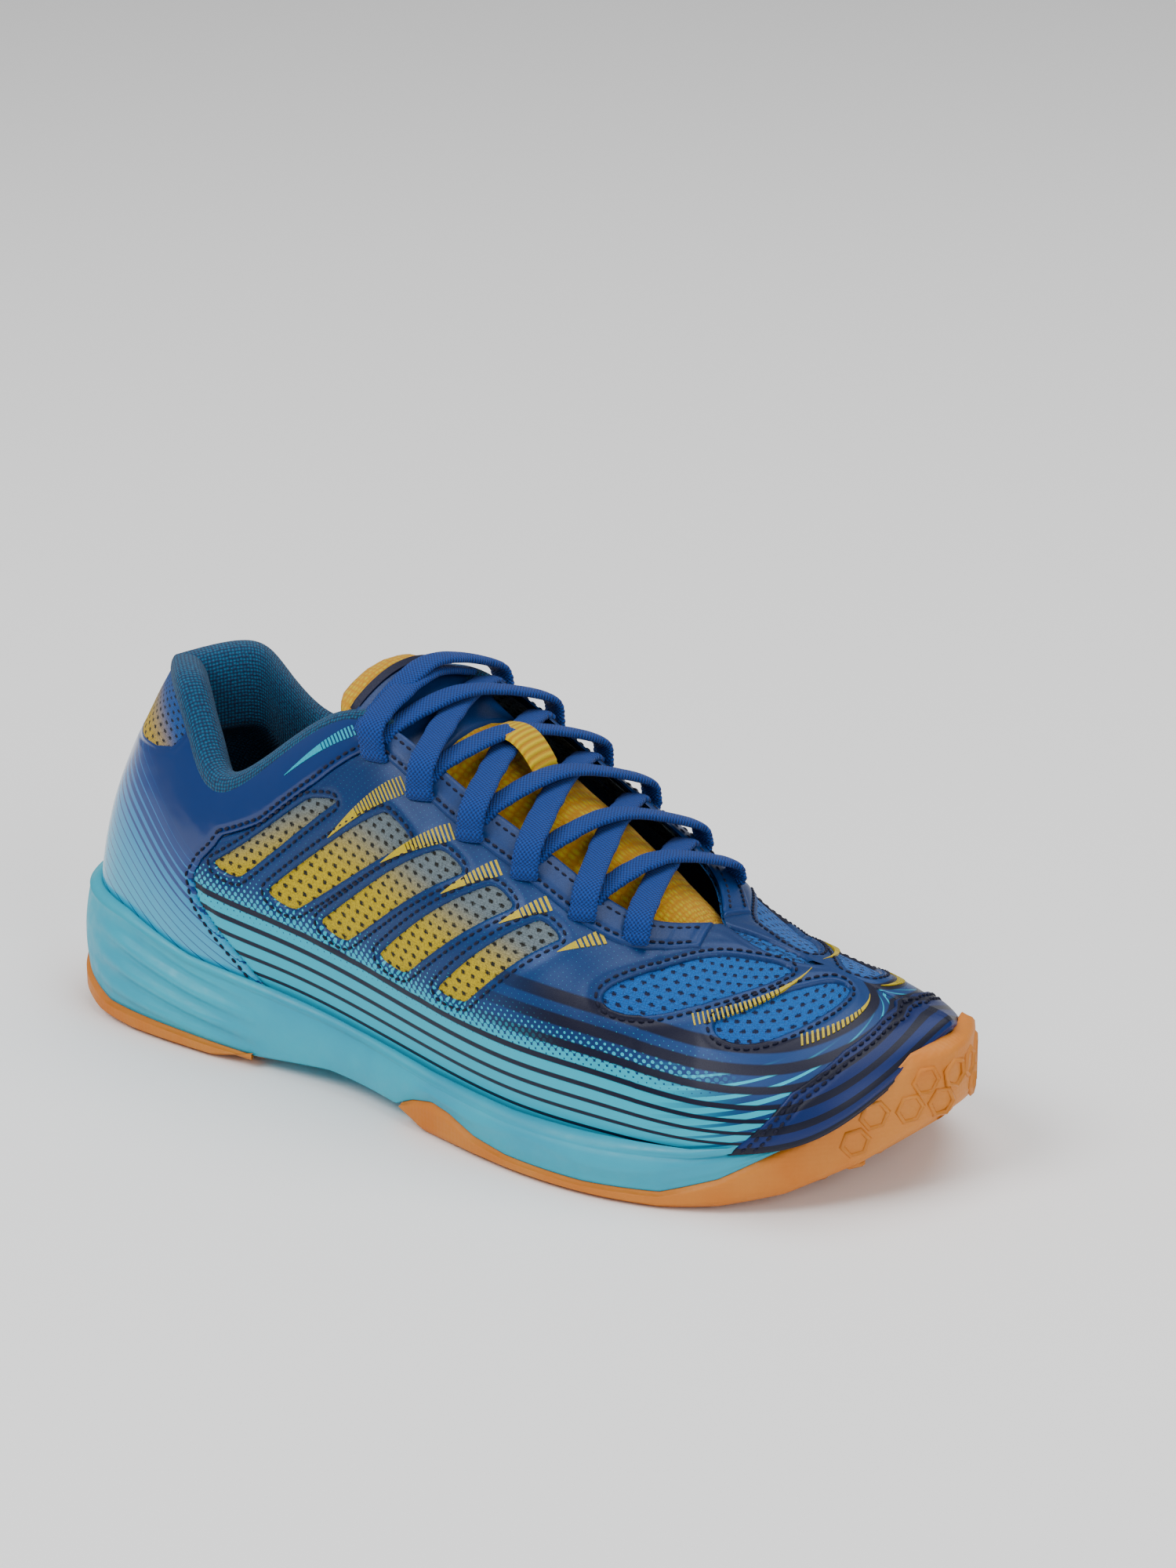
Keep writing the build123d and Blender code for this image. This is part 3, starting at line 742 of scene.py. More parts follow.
yellow_print_finish = plain_skin("yellow_print", srgb(250, 222, 80), 0.45)
cyan_print_finish = plain_skin("cyan_print", CYAN, 0.35)
webbing_finish = woven("yellow_webbing", srgb(255, 220, 66), srgb(226, 164, 26), 1.5, True)
lace_finish = woven("lace_cord", srgb(6, 96, 194), srgb(2, 40, 98), 1.1)
insole_finish = knit("insole_cover", srgb(16, 30, 60), srgb(30, 60, 110), 0.8)
counter_finish = plain_skin("counter_board", srgb(120, 116, 108), 0.7)

# ---------------------------------------------------------------- upper: mesh under the skins
# The hidden heel counter stays as it is and only gets a finish
frame["nodes"]["heel_counter"].data.materials.clear()
frame["nodes"]["heel_counter"].data.materials.append(counter_finish)


def whole(u, side, t):
    """Field of a panel with no cut edge: every point is well inside."""
    return np.full(np.shape(u), 10.0)


def blend_ball(piece):
    """Bakes the placement of a piece that crosses the ball line into its mesh."""
    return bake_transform(piece)


for side, word in ((LATERAL, "lateral"), (MEDIAL, "medial")):
    piece = skin("quarter_mesh_cloth_" + word, [side], (0.20, 0.655), (0.02, 0.985), (90, 50),
                 whole, -1.2, -1.2, quarter_mesh_finish)
    blend_ball(piece)
    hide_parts("quarter_mesh_" + word)

heel_cloth = skin("heel_cloth", [LATERAL], (-0.22, 0.22), (0.02, 0.985), (80, 50), whole,
                  -1.2, -1.2, navy_finish)
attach(heel_cloth, "rearfoot")
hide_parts("heel_mesh")

vamp_cloth = skin("vamp_cloth", [LATERAL, MEDIAL], (0.64, 1.0), (0.02, 1.0), (90, 50), whole,
                  -1.2, -1.2, vamp_mesh_finish)
blend_ball(vamp_cloth)
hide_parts("vamp_mesh", "vamp_crease")

# ---------------------------------------------------------------- upper: satin skin
satin_outline = {}
window_outlines = {}
for side in (LATERAL, MEDIAL):
    satin_outline[side] = flat_outline(SATIN_AREA, side, 2, 0.1)
    window_outlines[side] = [flat_outline(w, side, 3, 0.07) for w in MESH_WINDOWS]
    window_outlines[side] += [flat_outline(w, side, 3, 0.25) for w in VAMP_WINDOWS]


def satin_field(u, side, t):
    """Inside the satin skin and outside its windows."""
    flat = to_pattern(u, side, t)
    value = inside_distance(flat, satin_outline[side])
    for outline in window_outlines[side]:
        value = np.minimum(value, -inside_distance(flat, outline))
    return np.maximum(value, np.clip((u - 0.94) * 300, -50, 12))


def satin_relief(u, side, t, distance):
    """Stitch groove and soft cushion beside the skin's edges."""
    groove = stitch_channel(distance)
    cushion = 0.25 * np.exp(-((distance - 4.0) / 2.2) ** 2)
    calm = np.clip((0.955 - t) / 0.04, 0, 1) * np.clip((t - 0.16) / 0.06, 0, 1)
    return (groove + cushion) * calm * np.clip((0.96 - u) / 0.03, 0, 1)


satin_skin = skin("satin_skin", [LATERAL, MEDIAL], (0.24, 1.0), (0.0, 1.0), (230, 120),
                  satin_field, -1.4, 0.0, satin_skin_finish, 1.0, satin_relief)
blend_ball(satin_skin)
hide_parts("claw_overlay_lateral", "claw_overlay_medial", "vamp_overlay")

# ---------------------------------------------------------------- upper: toe cap
cap_area = TOE_SEAM + [(1.05, -0.03)]


def cap_field(u, side, t):
    """Inside the toe cap's seam."""
    return inside_distance(to_pattern(u, side, t), flat_outline(cap_area, side, 0))


toe_cap_skin = skin("toe_cap_skin", [LATERAL, MEDIAL], (0.76, 1.0), (0.0, 0.78), (110, 70),
                    cap_field, -0.2, 0.9, cap_finish, 1.0,
                    lambda u, side, t, d: stitch_channel(d, 2.2) + stitch_channel(d, 4.6))
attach(toe_cap_skin, "forefoot")
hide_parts("toe_cap")

# ---------------------------------------------------------------- upper: heel and collar skins
heel_area = [(-0.05, -0.03)] + HEEL_SEAM[::-1] + COLLAR_SEAM[1:] + [(-0.05, 1.02)]


def patch_field(u, side, t):
    """Mesh patch behind the collar; its outline is the same on both sides of the back."""
    corners = PATCH_EDGE + [(0.14, 1.02), (-0.05, 1.02), (-0.05, 0.50)]
    return inside_distance(to_pattern(u, side, t), flat_outline(corners, side, 0))


def heel_field(u, side, t):
    """Inside the heel skin and outside the mesh patch."""
    value = inside_distance(to_pattern(u, side, t), flat_outline(heel_area, side, 0))
    return np.minimum(value, -patch_field(u, side, t))


heel_skin = skin("heel_skin", [LATERAL, MEDIAL], (0.0, 0.445), (0.0, 0.995), (130, 110), heel_field,
                 -1.3, 0.3, heel_finish, 1.0, lambda u, side, t, d: stitch_channel(d))
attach(heel_skin, "rearfoot")
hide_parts("heel_overlay", "collar_overlay_lateral", "collar_overlay_medial")

heel_patch = skin("heel_patch", [LATERAL, MEDIAL], (0.0, 0.165), (0.44, 0.99), (50, 60),
                  lambda u, side, t: patch_field(u, side, t) + 1.2, -0.6, 0.1, patch_finish)
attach(heel_patch, "rearfoot")
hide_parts("heel_collar_patch")

# ---------------------------------------------------------------- printed spikes and bars
SPIKES = [   # tip and far end on the upper, and the width at the far end
    ((0.392, 0.535), (0.462, 0.845), 5.4, 0.40),
    ((0.455, 0.555), (0.516, 0.845), 5.2, 0.40),
    ((0.519, 0.615), (0.562, 0.845), 5.0, 0.42),
    ((0.573, 0.645), (0.606, 0.845), 4.8, 0.42),
    ((0.622, 0.675), (0.652, 0.845), 4.6, 0.42),
]
VAMP_SPIKES = [   # tip and far end; bars fill the far part
    ((0.874, 0.925), (0.742, 0.535), 3.2, 0.32),
    ((0.948, 0.815), (0.846, 0.520), 3.2, 0.30),
]
COLLAR_SPIKE = ((0.326, 0.80), (0.396, 0.925), 4.2, 0.55)


def spike_quads(tip, end, wide, solid, side, pitch=1.5):
    """Solid wedge from its tip, then bars across it, as flat four-cornered patches."""
    start, finish = to_pattern(tip[0], side, tip[1]), to_pattern(end[0], side, end[1])
    run = finish - start
    length = np.linalg.norm(run)
    along = run / length
    up = np.array([-along[1], along[0]])
    quads = []
    joint = length * solid

    def half(distance):
        return 0.06 + wide / 2 * min(distance / length * 1.15, 1.0)

    cuts = np.linspace(0, joint, 9)
    for a, b in zip(cuts[:-1], cuts[1:]):
        quads.append([start + along * a - up * half(a), start + along * b - up * half(b),
                      start + along * b + up * half(b), start + along * a + up * half(a)])
    place = joint + 0.5
    bar = pitch * 0.62
    while place + bar < length:
        a, b = place, place + bar
        quads.append([start + along * a - up * half(a), start + along * b - up * half(b),
                      start + along * b + up * half(b), start + along * a + up * half(a)])
        place += pitch
        bar = max(bar - 0.03, pitch * 0.35)
    return quads


def printed(name, spikes, height, material, sides=(LATERAL, MEDIAL)):
    """Thin film pieces lying on the skins."""
    points, faces, cloth = [], [], []
    for side in sides:
        for tip, end, wide, solid in spikes:
            for quad in spike_quads(tip, end, wide, solid, side):
                quad = np.array(quad)
                share = np.linspace(0, 1, 5)[:, None]
                low_edge = quad[0] * (1 - share) + quad[3] * share
                high_edge = quad[1] * (1 - share) + quad[2] * share
                flat = np.concatenate([low_edge, high_edge])
                u, t = from_pattern(flat, side)
                count = sum(len(p) for p in points)
                points.append(on_last(u, side, t, np.full(len(u), height)))
                points.append(on_last(u, side, t, np.full(len(u), height - 0.8)))
                cloth.append(np.column_stack([np.concatenate([flat, flat]), np.zeros(20)]))
                ring = [0, 5, 6, 7, 8, 9, 4, 3, 2, 1]
                made = [[k, k + 5, k + 6, k + 1] for k in range(4)]
                made += [[10 + ring[k], 10 + ring[(k + 1) % 10], ring[(k + 1) % 10], ring[k]]
                         for k in range(10)]
                faces += [[k + count for k in (f if side < 0 else f[::-1])] for f in made]
    return make_piece(name, np.concatenate(points), faces, material, np.concatenate(cloth),
                      smooth=False)


quarter_spikes = printed("quarter_spike_film", SPIKES, 0.32, yellow_print_finish)
blend_ball(quarter_spikes)
vamp_spikes = printed("vamp_spike_film", VAMP_SPIKES, 0.34, yellow_print_finish)
blend_ball(vamp_spikes)
collar_spikes = printed("collar_spike_film", [COLLAR_SPIKE], 0.52, cyan_print_finish)
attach(collar_spikes, "rearfoot")


# ---------------------------------------------------------------- stitches
THREAD = 0.00042        # radius of a stitch, in metres


def stitch_tree():
    """Geometry nodes: short rounded threads at an even pitch along every seam line."""
    sizes = (("Pitch", 0.0026), ("Thread", THREAD), ("Length", 0.0018))
    tree, start, placed = node_tree("seam_stitching", "Seams", sizes, "Stitches")
    spaced = tree.nodes.new("GeometryNodeCurveToPoints")
    spaced.mode = "LENGTH"
    thread = tree.nodes.new("GeometryNodeMeshIcoSphere")
    thread.inputs["Radius"].default_value = 1.0
    thread.inputs["Subdivisions"].default_value = 2
    size = tree.nodes.new("ShaderNodeCombineXYZ")
    half = tree.nodes.new("ShaderNodeMath")
    half.operation = "MULTIPLY"
    half.inputs[1].default_value = 0.5
    links = tree.links
    links.new(start.outputs["Seams"], spaced.inputs["Curve"])
    links.new(start.outputs["Pitch"], spaced.inputs["Length"])
    links.new(start.outputs["Length"], half.inputs[0])
    links.new(start.outputs["Thread"], size.inputs[0])
    links.new(start.outputs["Thread"], size.inputs[1])
    links.new(half.outputs[0], size.inputs[2])
    links.new(spaced.outputs["Points"], placed.inputs["Points"])
    links.new(spaced.outputs["Rotation"], placed.inputs["Rotation"])
    links.new(thread.outputs["Mesh"], placed.inputs["Instance"])
    links.new(size.outputs[0], placed.inputs["Scale"])
    return tree


STITCH_TREE = stitch_tree()


def stitched(name, seams, material, pitch=2.6):
    """Rows of stitches along seam lines in millimetres, as one plain mesh."""
    data = bpy.data.curves.new(name, "CURVE")
    data.dimensions = "3D"
    for seam in seams:
        spline = data.splines.new("POLY")
        spline.points.add(len(seam) - 1)
        for point, place in zip(spline.points, seam):
            point.co = (*(place * MM), 1)
    values = {"Pitch": pitch * MM, "Thread": THREAD, "Length": pitch * 0.72 * MM,
              "Finish": material}
    piece = baked_nodes(linked(name + "_line", data), STITCH_TREE, values, name)
    piece.data.polygons.foreach_set("use_smooth", [True] * len(piece.data.polygons))
    return piece


def grown(outline, distance):
    """Closed outline moved outwards by a distance."""
    run = np.roll(outline, -1, axis=0) - np.roll(outline, 1, axis=0)
    run = run / np.maximum(np.linalg.norm(run, axis=1)[:, None], 1e-9)
    out = np.stack([run[:, 1], -run[:, 0]], -1)
    area = (outline[:, 0] * np.roll(outline[:, 1], -1) - outline[:, 1] * np.roll(
        outline[:, 0], -1)).sum()
    return outline + out * distance * np.sign(area)


def seam_on(corners_flat, side, height, closed=False, low=0.02, high=0.995):
    """Seam line over the upper from flat corners."""
    line = np.vstack([corners_flat, corners_flat[:1]]) if closed else np.array(corners_flat)
    step = np.concatenate([[0], np.cumsum(np.linalg.norm(np.diff(line, axis=0), axis=1))])
    place = np.linspace(0, step[-1], max(int(step[-1] / 0.8), 4))
    line = np.stack([np.interp(place, step, line[:, k]) for k in range(2)], -1)
    u, t = from_pattern(line, side)
    keep = (t > low) & (t < high) & (u < 1.0)
    u, t = u[keep], t[keep]
    return on_last(u, side, t, np.full(len(u), height))


def beside(corners, side, gap):
    """Flat line at a distance from an edge line given as (u, t) corners."""
    corners = np.array(corners)
    line = to_pattern(corners[:, 0], side, corners[:, 1])
    run = np.gradient(line, axis=0)
    run /= np.linalg.norm(run, axis=1)[:, None]
    return line + np.stack([run[:, 1], -run[:, 0]], -1) * gap


upper_seams = []
heel_seams = []
for side in (LATERAL, MEDIAL):
    for outline in window_outlines[side]:
        upper_seams.append(seam_on(grown(outline, 2.0), side, 0.0, True))
    throat_u = np.linspace(0.43, 0.72, 90)
    for gap in (3.0, 9.3):
        throat_t = 1 - gap / np.interp(throat_u, PATTERN_U, PATTERN_RIB[side])
        upper_seams.append(on_last(throat_u, side, throat_t, np.full(90, 0.95)))
    upper_seams += [seam_on(beside(TOE_SEAM, side, gap), side, 0.8) for gap in (2.0, 4.4)]
    heel_seams.append(seam_on(beside(HEEL_SEAM, side, 2.0), side, 0.3))
    heel_seams.append(seam_on(beside(COLLAR_SEAM, side, -2.0), side, 0.3))

upper_stitches = stitched("upper_stitches", upper_seams, stitch_finish)
blend_ball(upper_stitches)
heel_stitches = stitched("heel_stitches", heel_seams, stitch_finish)
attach(heel_stitches, "rearfoot")

# ---------------------------------------------------------------- collar roll and lining
ROLL = [(-0.6, -11), (0.9, -8), (1.9, -3.5), (0.8, 0.6), (-2.6, 1.6), (-6.2, 0.6), (-8.6, -3.5),
        (-9.4, -9), (-9.2, -15), (-8.5, -22)]


def catmull_rom(padded_line, place, spans):
    """Curve at place, in spans from the second point of a line padded at both ends."""
    i = np.minimum(place.astype(int), spans - 1)
    s = (place - i)[:, None]
    a, b, c, d = (padded_line[i + k] for k in range(4))
    return 0.5 * (2 * b + (c - a) * s + (2 * a - 5 * b + 4 * c - d) * s ** 2
                  + (3 * b - a - 3 * c + d) * s ** 3)


def curve_through(points, count):
    """Catmull-Rom curve through points, sampled evenly in parameter."""
    points = np.array(points, float)
    padded_line = np.vstack([2 * points[0] - points[1], points, 2 * points[-1] - points[-2]])
    return catmull_rom(padded_line, np.linspace(0, len(points) - 1, count), len(points) - 1)


def collar_and_lining():
    """Padded roll along the top line, carried down inside as the heel lining."""
    us = np.concatenate([np.linspace(0.43, 0.0, 90), np.linspace(0.0, 0.43, 90)[1:]])
    sides = np.concatenate([np.full(90, LATERAL), np.full(89, MEDIAL)]).astype(float)
    top = last_point(us, sides, 1.0)
    tangent = np.gradient(top, axis=0)
    out = np.stack([tangent[:, 1], -tangent[:, 0], np.zeros(len(us))], -1)
    middle = np.array([-55.0, 2.0, 0])
    flip = np.sign(((top - middle) * out).sum(1))
    out = out / np.linalg.norm(out, axis=1)[:, None]
    out = out * np.where(flip == 0, 1, flip)[:, None]
    roll = curve_through(ROLL, 34)
    full = np.clip((0.44 - us) / 0.10, 0.25, 1.0) ** 0.6
    rows = []
    for share_out, share_up in roll:
        rows.append(top + out * (share_out * full)[:, None] + np.array([0, 0, 1.0]) * share_up)
    last_row = rows[-1]
    foot = last_point(us, sides, 0.04)
    bed = np.stack([foot[:, 0], foot[:, 1], profile(FOOTBED, foot[:, 0]) + 4.0], -1)
    bed = bed + (np.array([-52.0, 2.0, 0]) - bed) * np.array([0.05, 0.16, 0])
    for k in range(1, 15):
        share = k / 14
        inner = last_point(us, sides, 0.75 * (1 - share) + 0.05)
        inner = inner - out * 5.5
        straight = last_row * (1 - share) + bed * share
        rows.append(straight * (1 - 0.55 * math.sin(math.pi * share))
                    + inner * 0.55 * math.sin(math.pi * share))
    grid = np.stack(rows, 1)
    along = np.concatenate([[0], np.cumsum(np.linalg.norm(np.diff(top, axis=0), axis=1))])
    cloth = np.zeros(grid.shape)
    cloth[..., 0] = along[:, None]
    down = np.linalg.norm(np.diff(grid, axis=1), axis=2).mean(0)
    cloth[..., 1] = np.concatenate([[0], np.cumsum(down)])[None, :]
    faces = [f[::-1] for f in grid_faces(*grid.shape[:2])]
    return grid.reshape(-1, 3), faces, cloth.reshape(-1, 3)


points, faces, cloth = collar_and_lining()
collar_roll = make_piece("collar_roll", points, faces, lining_finish, cloth)
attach(collar_roll, "rearfoot")
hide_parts("collar_padding", "collar_lining", "heel_lining")

inner_lining = skin("inner_lining", [LATERAL, MEDIAL], (0.425, 1.0), (0.03, 0.90), (90, 40), whole,
                    -5.0, -5.0, lining_finish)
blend_ball(inner_lining)
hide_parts("quarter_lining_lateral", "quarter_lining_medial", "vamp_lining",
            "toe_puff")

# ---------------------------------------------------------------- eyestay band round the throat
def eyestay_field(u, side, t):
    """Band beside the throat."""
    rib = np.interp(u, PATTERN_U, PATTERN_RIB[side])
    band = 11.5 - (1 - t) * rib
    ahead = (0.735 - u) * 210
    behind = (u - 0.405) * 210
    return np.minimum(np.minimum(band, behind), ahead)


for side, word in ((LATERAL, "lateral"), (MEDIAL, "medial")):
    piece = skin("eyestay_band_" + word, [side], (0.40, 0.74), (0.70, 1.0), (150, 36), eyestay_field,
                 -0.1, 1.0, panel_finish, 1.0, lambda u, side, t, d: np.where(
                     t > 0.995, -0.5, stitch_channel(d, 2.2)))
    blend_ball(piece)
    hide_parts("eyestay_" + word)


# ---------------------------------------------------------------- tongue
def tongue_point(place, across, height):
    """On the tongue: place from root 0 to top 1, across from -1 lateral to 1 medial."""
    place = np.asarray(place, float)
    across = np.asarray(across, float)
    x = spline_value(TONGUE_X, place)
    z = spline_value(TONGUE_Z, place) - TONGUE_SAG * across ** 2
    half = spline_value(TONGUE_HALF, place)
    run_x = spline_value(TONGUE_X, place + 0.01) - spline_value(TONGUE_X, place - 0.01)
    run_z = spline_value(TONGUE_Z, place + 0.01) - spline_value(TONGUE_Z, place - 0.01)
    size = np.hypot(run_x, run_z)
    return np.stack([x + run_z / size * height, TONGUE_MIDDLE + half * across,
                     z - run_x / size * height], -1)


def tongue_pad():
    """Padded mesh tongue with rounded sides and top."""
    rows, around = 70, 36
    place = np.linspace(0.0, 1.0, rows)[:, None]
    angle = np.linspace(0, 2 * math.pi, around, endpoint=False)[None, :]
    taper = np.sqrt(np.clip(1 - np.clip((place - 0.90) / 0.10, 0, 1) ** 2, 0.02, 1))
    across = np.sign(np.cos(angle)) * np.abs(np.cos(angle)) ** 0.6 * (0.75 + 0.25 * taper)
    thick = 3.4 * np.abs(np.sin(angle)) ** 0.7 * np.sign(np.sin(angle)) * taper
    quilting = 0.25 * np.sin(place * 60) * np.cos(across * 14)
    points = tongue_point(place + 0 * across, across, thick - 3.2 + quilting)
    faces = []
    for i in range(rows - 1):
        for j in range(around):
            k = (j + 1) % around
            faces.append([i * around + j, (i + 1) * around + j, (i + 1) * around + k,
                          i * around + k])
    faces.append(list(range(around)))
    faces.append([(rows - 1) * around + j for j in range(around)][::-1])
    cloth = np.zeros((rows, around, 3))
    cloth[..., 0] = place * TONGUE_LENGTH
    cloth[..., 1] = across * TONGUE_HALF_CLOTH
    cloth[..., 2] = np.sign(np.sin(angle)) * 5
    return points.reshape(-1, 3), faces, cloth.reshape(-1, 3)


def blend_flap(piece):
    """Bakes the placement of a piece that crosses the start of the tongue's flap into its mesh."""
    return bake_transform(piece)


points, faces, cloth = tongue_pad()
tongue = make_piece("tongue_pad", points, faces, tongue_mesh_finish, cloth)
blend_flap(tongue)
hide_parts("tongue_mesh", "tongue_padding", "tongue_lining", "flap_mesh", "flap_padding",
            "flap_lining")


def tongue_patch(name, places, reach, height, thick, material, steps=(40, 40), bulge=0.0):
    """Thin sheet on the tongue, with its edges turned down."""
    rows, columns = steps
    place = np.linspace(*places, rows)[:, None]
    across = np.linspace(-reach, reach, columns)[None, :]
    to_edge = np.minimum(np.minimum(place - places[0], places[1] - place) * TONGUE_LENGTH,
                         (reach - np.abs(across)) * 22)
    lift = height + thick * rounded_edge(to_edge, 0.8) + bulge * np.sin(
        math.pi * (place - places[0]) / (places[1] - places[0]))
    points = tongue_point(place + 0 * across, across + 0 * place, lift)
    cloth = np.zeros((rows, columns, 3))
    cloth[..., 0] = place * TONGUE_LENGTH
    cloth[..., 1] = across * TONGUE_HALF_CLOTH
    return make_piece(name, points.reshape(-1, 3), grid_faces(rows, columns), material,
                      cloth.reshape(-1, 3))


tongue_panel = tongue_patch("tongue_panel_skin", (0.60, 0.90), 1.0, -0.8, 1.7, panel_finish)
blend_flap(tongue_panel)
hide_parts("tongue_panel")

tongue_binding = tongue_patch("tongue_binding_band", (0.885, 0.925), 0.93, -0.7, 2.2, navy_finish)
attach(tongue_binding, "tongue_flap")
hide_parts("tongue_binding")

lace_keeper = tongue_patch("lace_keeper", (0.44, 0.56), 0.27, 4.6, 1.0, webbing_finish, (40, 20), 4.0)
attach(lace_keeper, "rearfoot")
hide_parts("lace_loop")


# ---------------------------------------------------------------- laces
def lace_run(row, side):
    """Middle line of one visible run, from its eyelet to under the other throat edge."""
    start_u = EYELET_ROWS[row]
    end_u = EYELET_ROWS[row - 1] if row else start_u - 0.02
    crown = 5.0 if side < 0 else 8.0
    hole = on_last(start_u + 0.004, side, 0.85, 0.0)
    start = on_last(start_u + 0.002, side, 0.875, 2.6)
    rise = on_last(start_u - 0.006, side, 0.97, 4.6)
    end = on_last(end_u, -side, 0.985, 0.4)
    middle = (rise + end) / 2
    z = np.interp(middle[0], TONGUE_X[::-1], TONGUE_Z[::-1]) + crown
    over = np.array([middle[0], middle[1], z])
    tuck = end + (end - over) * 0.10 + np.array([0, 0, -2.5])
    return curve_through([hole, start, rise, over, end + (over - end) * 0.15, tuck], 90)


def lace_mesh(name, rows):
    """Flat woven runs, one from each eyelet."""
    points, faces, cloth = [], [], []
    around = 20
    angle = np.linspace(0, 2 * math.pi, around, endpoint=False)
    for row in rows:
        for side in (LATERAL, MEDIAL):
            line = lace_run(row, side)
            along = np.concatenate([[0], np.cumsum(np.linalg.norm(np.diff(line, axis=0), axis=1))])
            tangent = np.gradient(line, axis=0)
            tangent /= np.linalg.norm(tangent, axis=1)[:, None]
            across = np.cross([0, 0, 1.0], line[-12] - line[14])
            across = np.broadcast_to(across / np.linalg.norm(across), line.shape)
            above = np.cross(tangent, across)
            above /= np.linalg.norm(above, axis=1)[:, None]
            wave = 1 + 0.035 * np.sign(np.sin(along * 2 * math.pi / 1.5))
            wide = 3.9 * np.sign(np.cos(angle)) * np.abs(np.cos(angle)) ** 0.75
            tall = 1.3 * np.sign(np.sin(angle)) * np.abs(np.sin(angle)) ** 0.7
            ring = line[:, None] + across[:, None] * (wide[None] * wave[:, None])[..., None]
            ring = ring + above[:, None] * tall[None, :, None]
            count = len(points) * around * len(line)
            size = len(line)
            points.append(ring.reshape(-1, 3))
            flat = np.zeros((size, around, 3))
            flat[..., 0] = along[:, None]
            flat[..., 1] = wide[None, :]
            cloth.append(flat.reshape(-1, 3))
            for i in range(size - 1):
                for j in range(around):
                    k = (j + 1) % around
                    faces.append([count + i * around + j, count + i * around + k,
                                  count + (i + 1) * around + k, count + (i + 1) * around + j])
            faces.append([count + j for j in range(around)][::-1])
            faces.append([count + (size - 1) * around + j for j in range(around)])
    return make_piece(name, np.concatenate(points), faces, lace_finish, np.concatenate(cloth))


laces = lace_mesh("lace_runs", range(len(EYELET_ROWS)))
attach(laces, "rearfoot")
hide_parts("lace")

# ---------------------------------------------------------------- sole
def sole_loop(count=720):
    """Outline of the sole seen from above, and its inward direction."""
    corners = np.array(LATERAL_EDGE + MEDIAL_EDGE, float)
    closed = np.vstack([corners, corners[:1]])
    padded_line = np.vstack([corners[-1:], closed, corners[1:2]])
    place = np.linspace(0, len(corners), count, endpoint=False)
    line = catmull_rom(padded_line, place, len(corners))
    run = np.roll(line, -1, axis=0) - np.roll(line, 1, axis=0)
    run /= np.linalg.norm(run, axis=1)[:, None]
    return line, np.stack([-run[:, 1], run[:, 0]], -1)


SOLE_LINE, SOLE_IN = sole_loop()


def wall_piece(name, keep, rows, material, close_bottom=None):
    """Wall round the sole: rows gives (inset, z) arrays; keep says which stations it covers."""
    index = np.nonzero(keep)[0]
    whole_loop = len(index) == len(SOLE_LINE)
    if not whole_loop:
        gap = np.nonzero(np.diff(index) > 1)[0]
        if len(gap) == 1:
            index = np.concatenate([index[gap[0] + 1:], index[:gap[0] + 1]])
    line, inward = SOLE_LINE[index], SOLE_IN[index]
    grid = []
    for inset, z in rows:
        inset = np.broadcast_to(inset, (len(SOLE_LINE),))[index]
        z = np.broadcast_to(z, (len(SOLE_LINE),))[index]
        grid.append(np.column_stack([line + inward * inset[:, None], z]))
    if close_bottom is not None:
        first = grid[0]
        for share in (0.75, 0.5, 0.25, 0.02):
            y = SOLE_MIDDLE + (first[:, 1] - SOLE_MIDDLE) * share
            grid.insert(0, np.column_stack([first[:, 0], y, close_bottom(first[:, 0])]))
    grid = np.stack(grid, 1)
    count = grid.shape[1]
    length = len(index)
    faces = []
    for i in range(length if whole_loop else length - 1):
        k = (i + 1) % length
        for j in range(count - 1):
            faces.append([i * count + j, k * count + j, k * count + j + 1, i * count + j + 1])
    return make_piece(name, grid.reshape(-1, 3), faces, material)


sole_x = SOLE_LINE[:, 0]
rim_z = profile(RIM, sole_x)
foot_z = profile(FOAM_FOOT, sole_x)
ground_z = profile(GROUND, sole_x)
foam_keep = rim_z - foot_z > 0.2


def flow_grooves(x, z, low, high):
    """Sculpted flutes that sweep from the heel into the arch, and faint forefoot steps."""
    share = (z - low) / np.maximum(high - low, 1)
    spread = np.clip((-58 - x) / 70, 0, 1)
    flute = np.sin((share * 7.2 + 0.5 - spread * 1.6) * math.pi)
    flute = flute * np.clip(spread * 3, 0, 1) * np.clip((1 - spread) * 4, 0, 1)
    step = 0.45 * np.tanh((share - 0.5 + 0.12 * np.sin(x / 9.0)) * 9) * np.clip((x + 10) / 30, 0, 1)
    return (flute + step) * np.clip(share * 6, 0, 1) * np.clip((1 - share) * 5, 0, 1)


def feather_fit():
    """For every station of the sole: the upper's foot there, set 1 mm out from the upper."""
    us = np.linspace(0, 1, 1200)
    feet = np.concatenate([last_point(us, side, 0.03) + last_normal(us, side, 0.03) * 1.0
                           for side in (LATERAL, MEDIAL)])
    gap = np.linalg.norm(SOLE_LINE[:, None, :] - feet[None, :, :2], axis=2)
    return feet[gap.argmin(1)]


